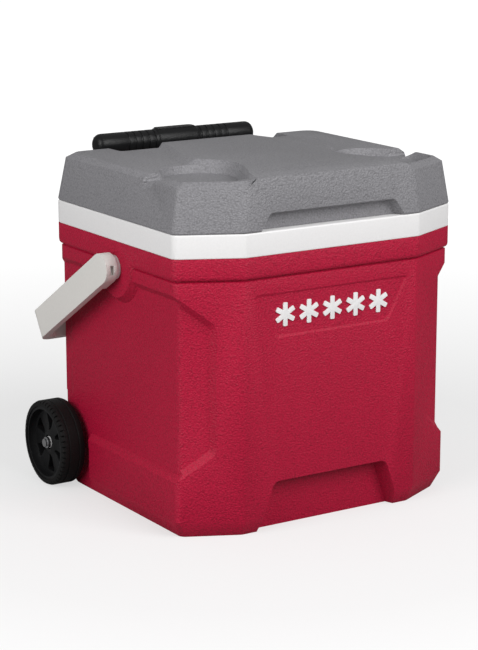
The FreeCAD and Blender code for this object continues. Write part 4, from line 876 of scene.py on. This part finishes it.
def placeWheel(piece, sign):
    bm = bmesh.new()
    bm.from_mesh(piece.data)
    bmesh.ops.translate(bm, verts=bm.verts, vec=(0, wheelPlace.y, wheelPlace.z))
    if sign < 0:
        bmesh.ops.scale(bm, vec=(-1, 1, 1), verts=bm.verts)
        bmesh.ops.reverse_faces(bm, faces=bm.faces)
    bm.to_mesh(piece.data)
    bm.free()


def makeWheel(sign, name, body, node):
    # a dished disc with six windows, a raised hub and a ring beside the tread
    radius = (tyreHigh.z - tyreLow.z) / 2 - wheel["tread"]
    low, high = tyreLow.x + 1, tyreHigh.x - 1
    ring, hub, dish = radius - wheel["rim"], wheel["hub"], wheel["dish"]
    hubIn, hubOut = tyreLow.x - 2, tyreHigh.x - 7
    bore, recess, deep = wheel["bore"], wheel["recess"], hubOut - wheel["recessDepth"]
    profile = [(hubIn, bore), (hubIn, hub), (low + dish, hub + 2), (low + dish, ring - 3),
               (low + 2, ring), (low, ring), (low, radius - 0.02), (high, radius - 0.02),
               (high, ring), (high - 2, ring), (high - dish, ring - 2), (high - dish, hub + 6),
               (hubOut - 1, hub), (hubOut, hub - 2), (hubOut, recess), (deep, recess - 1),
               (deep, bore), (hubIn, bore)]
    piece = asObject(turned(profile, Vector((0, 0, 0)), 96), name)
    inner, outer = hub + 1.5, ring - 5
    for step in range(wheel["windows"]):
        window = prism([(-wheel["windowIn"], inner), (wheel["windowIn"], inner),
                        (wheel["windowOut"], outer), (-wheel["windowOut"], outer)],
                       [1, 1, 2.5, 2.5], lambda u, v: (low, u, v), Vector((high - low, 0, 0)))
        bmesh.ops.rotate(window, verts=window.verts, cent=(0, 0, 0),
                         matrix=Matrix.Rotation(math.tau * step / wheel["windows"], 3, "X"))
        combine(piece, window, "DIFFERENCE")
    placeWheel(piece, sign)
    finishPiece(piece, body, materials["black"], [node], wheel["edge"],
                wheel["smooth"])


# emblem

emblem = {"stars": 5, "star": 13.5, "bar": 5.6, "step": 32, "barRound": 1.2, "rise": 1.3,
          "sunk": 0.3, "edge": 0.35}


def makeEmblem():
    # a row of plain frost stars, each of three crossed bars
    face = frontY + shell["inset"] + shell["badgeDepth"]
    middle = (shell["badgeTop"] + shell["badgeBottom"]) / 2
    push = Vector((0, -emblem["rise"] - emblem["sunk"], 0))
    r, half = emblem["star"], emblem["bar"] / 2
    piece = asObject(bmesh.new(), "frontEmblem")
    whole = bmesh.new()
    for place in range(emblem["stars"]):
        x = (place - (emblem["stars"] - 1) / 2) * emblem["step"]
        star = None
        for turn in range(3):
            bar = prism([(-r, -half), (r, -half), (r, half), (-r, half)], [emblem["barRound"]] * 4,
                        lambda u, v: (u, face + emblem["sunk"], v), push)
            bmesh.ops.rotate(bar, verts=bar.verts, cent=(0, 0, 0),
                             matrix=Matrix.Rotation(math.radians(60 * turn + 30), 3, "Y"))
            bmesh.ops.translate(bar, verts=bar.verts, vec=(x, 0, middle))
            if star is None:
                star = asObject(bar, "star")
            else:
                combine(star, bar, "UNION")
        whole.from_mesh(star.data)
        bpy.data.objects.remove(star)
    whole.to_mesh(piece.data)
    whole.free()
    finishPiece(piece, "root", materials["white"], ["front_emblem"],
                emblem["edge"])


# build everything

makeCamera()
makeStudio()
finishCadNodes()
print("stage: studio and CAD finishes ready")
makeShell()
print("stage: shell ready")
makeRim()
makeEmblem()
print("stage: rim and emblem ready")
makeLid()
print("stage: lid ready")
makeBail()
makePins()
makeGrip()
makeButton()
print("stage: handles ready")
for sign, side in ((1, "right"), (-1, "left")):
    makeTyre(sign, side + "Tread", side + "_wheel", "tyre_" + side)
    makeWheel(sign, side + "Wheel", side + "_wheel", "wheel_" + side)
print("stage: wheels ready")
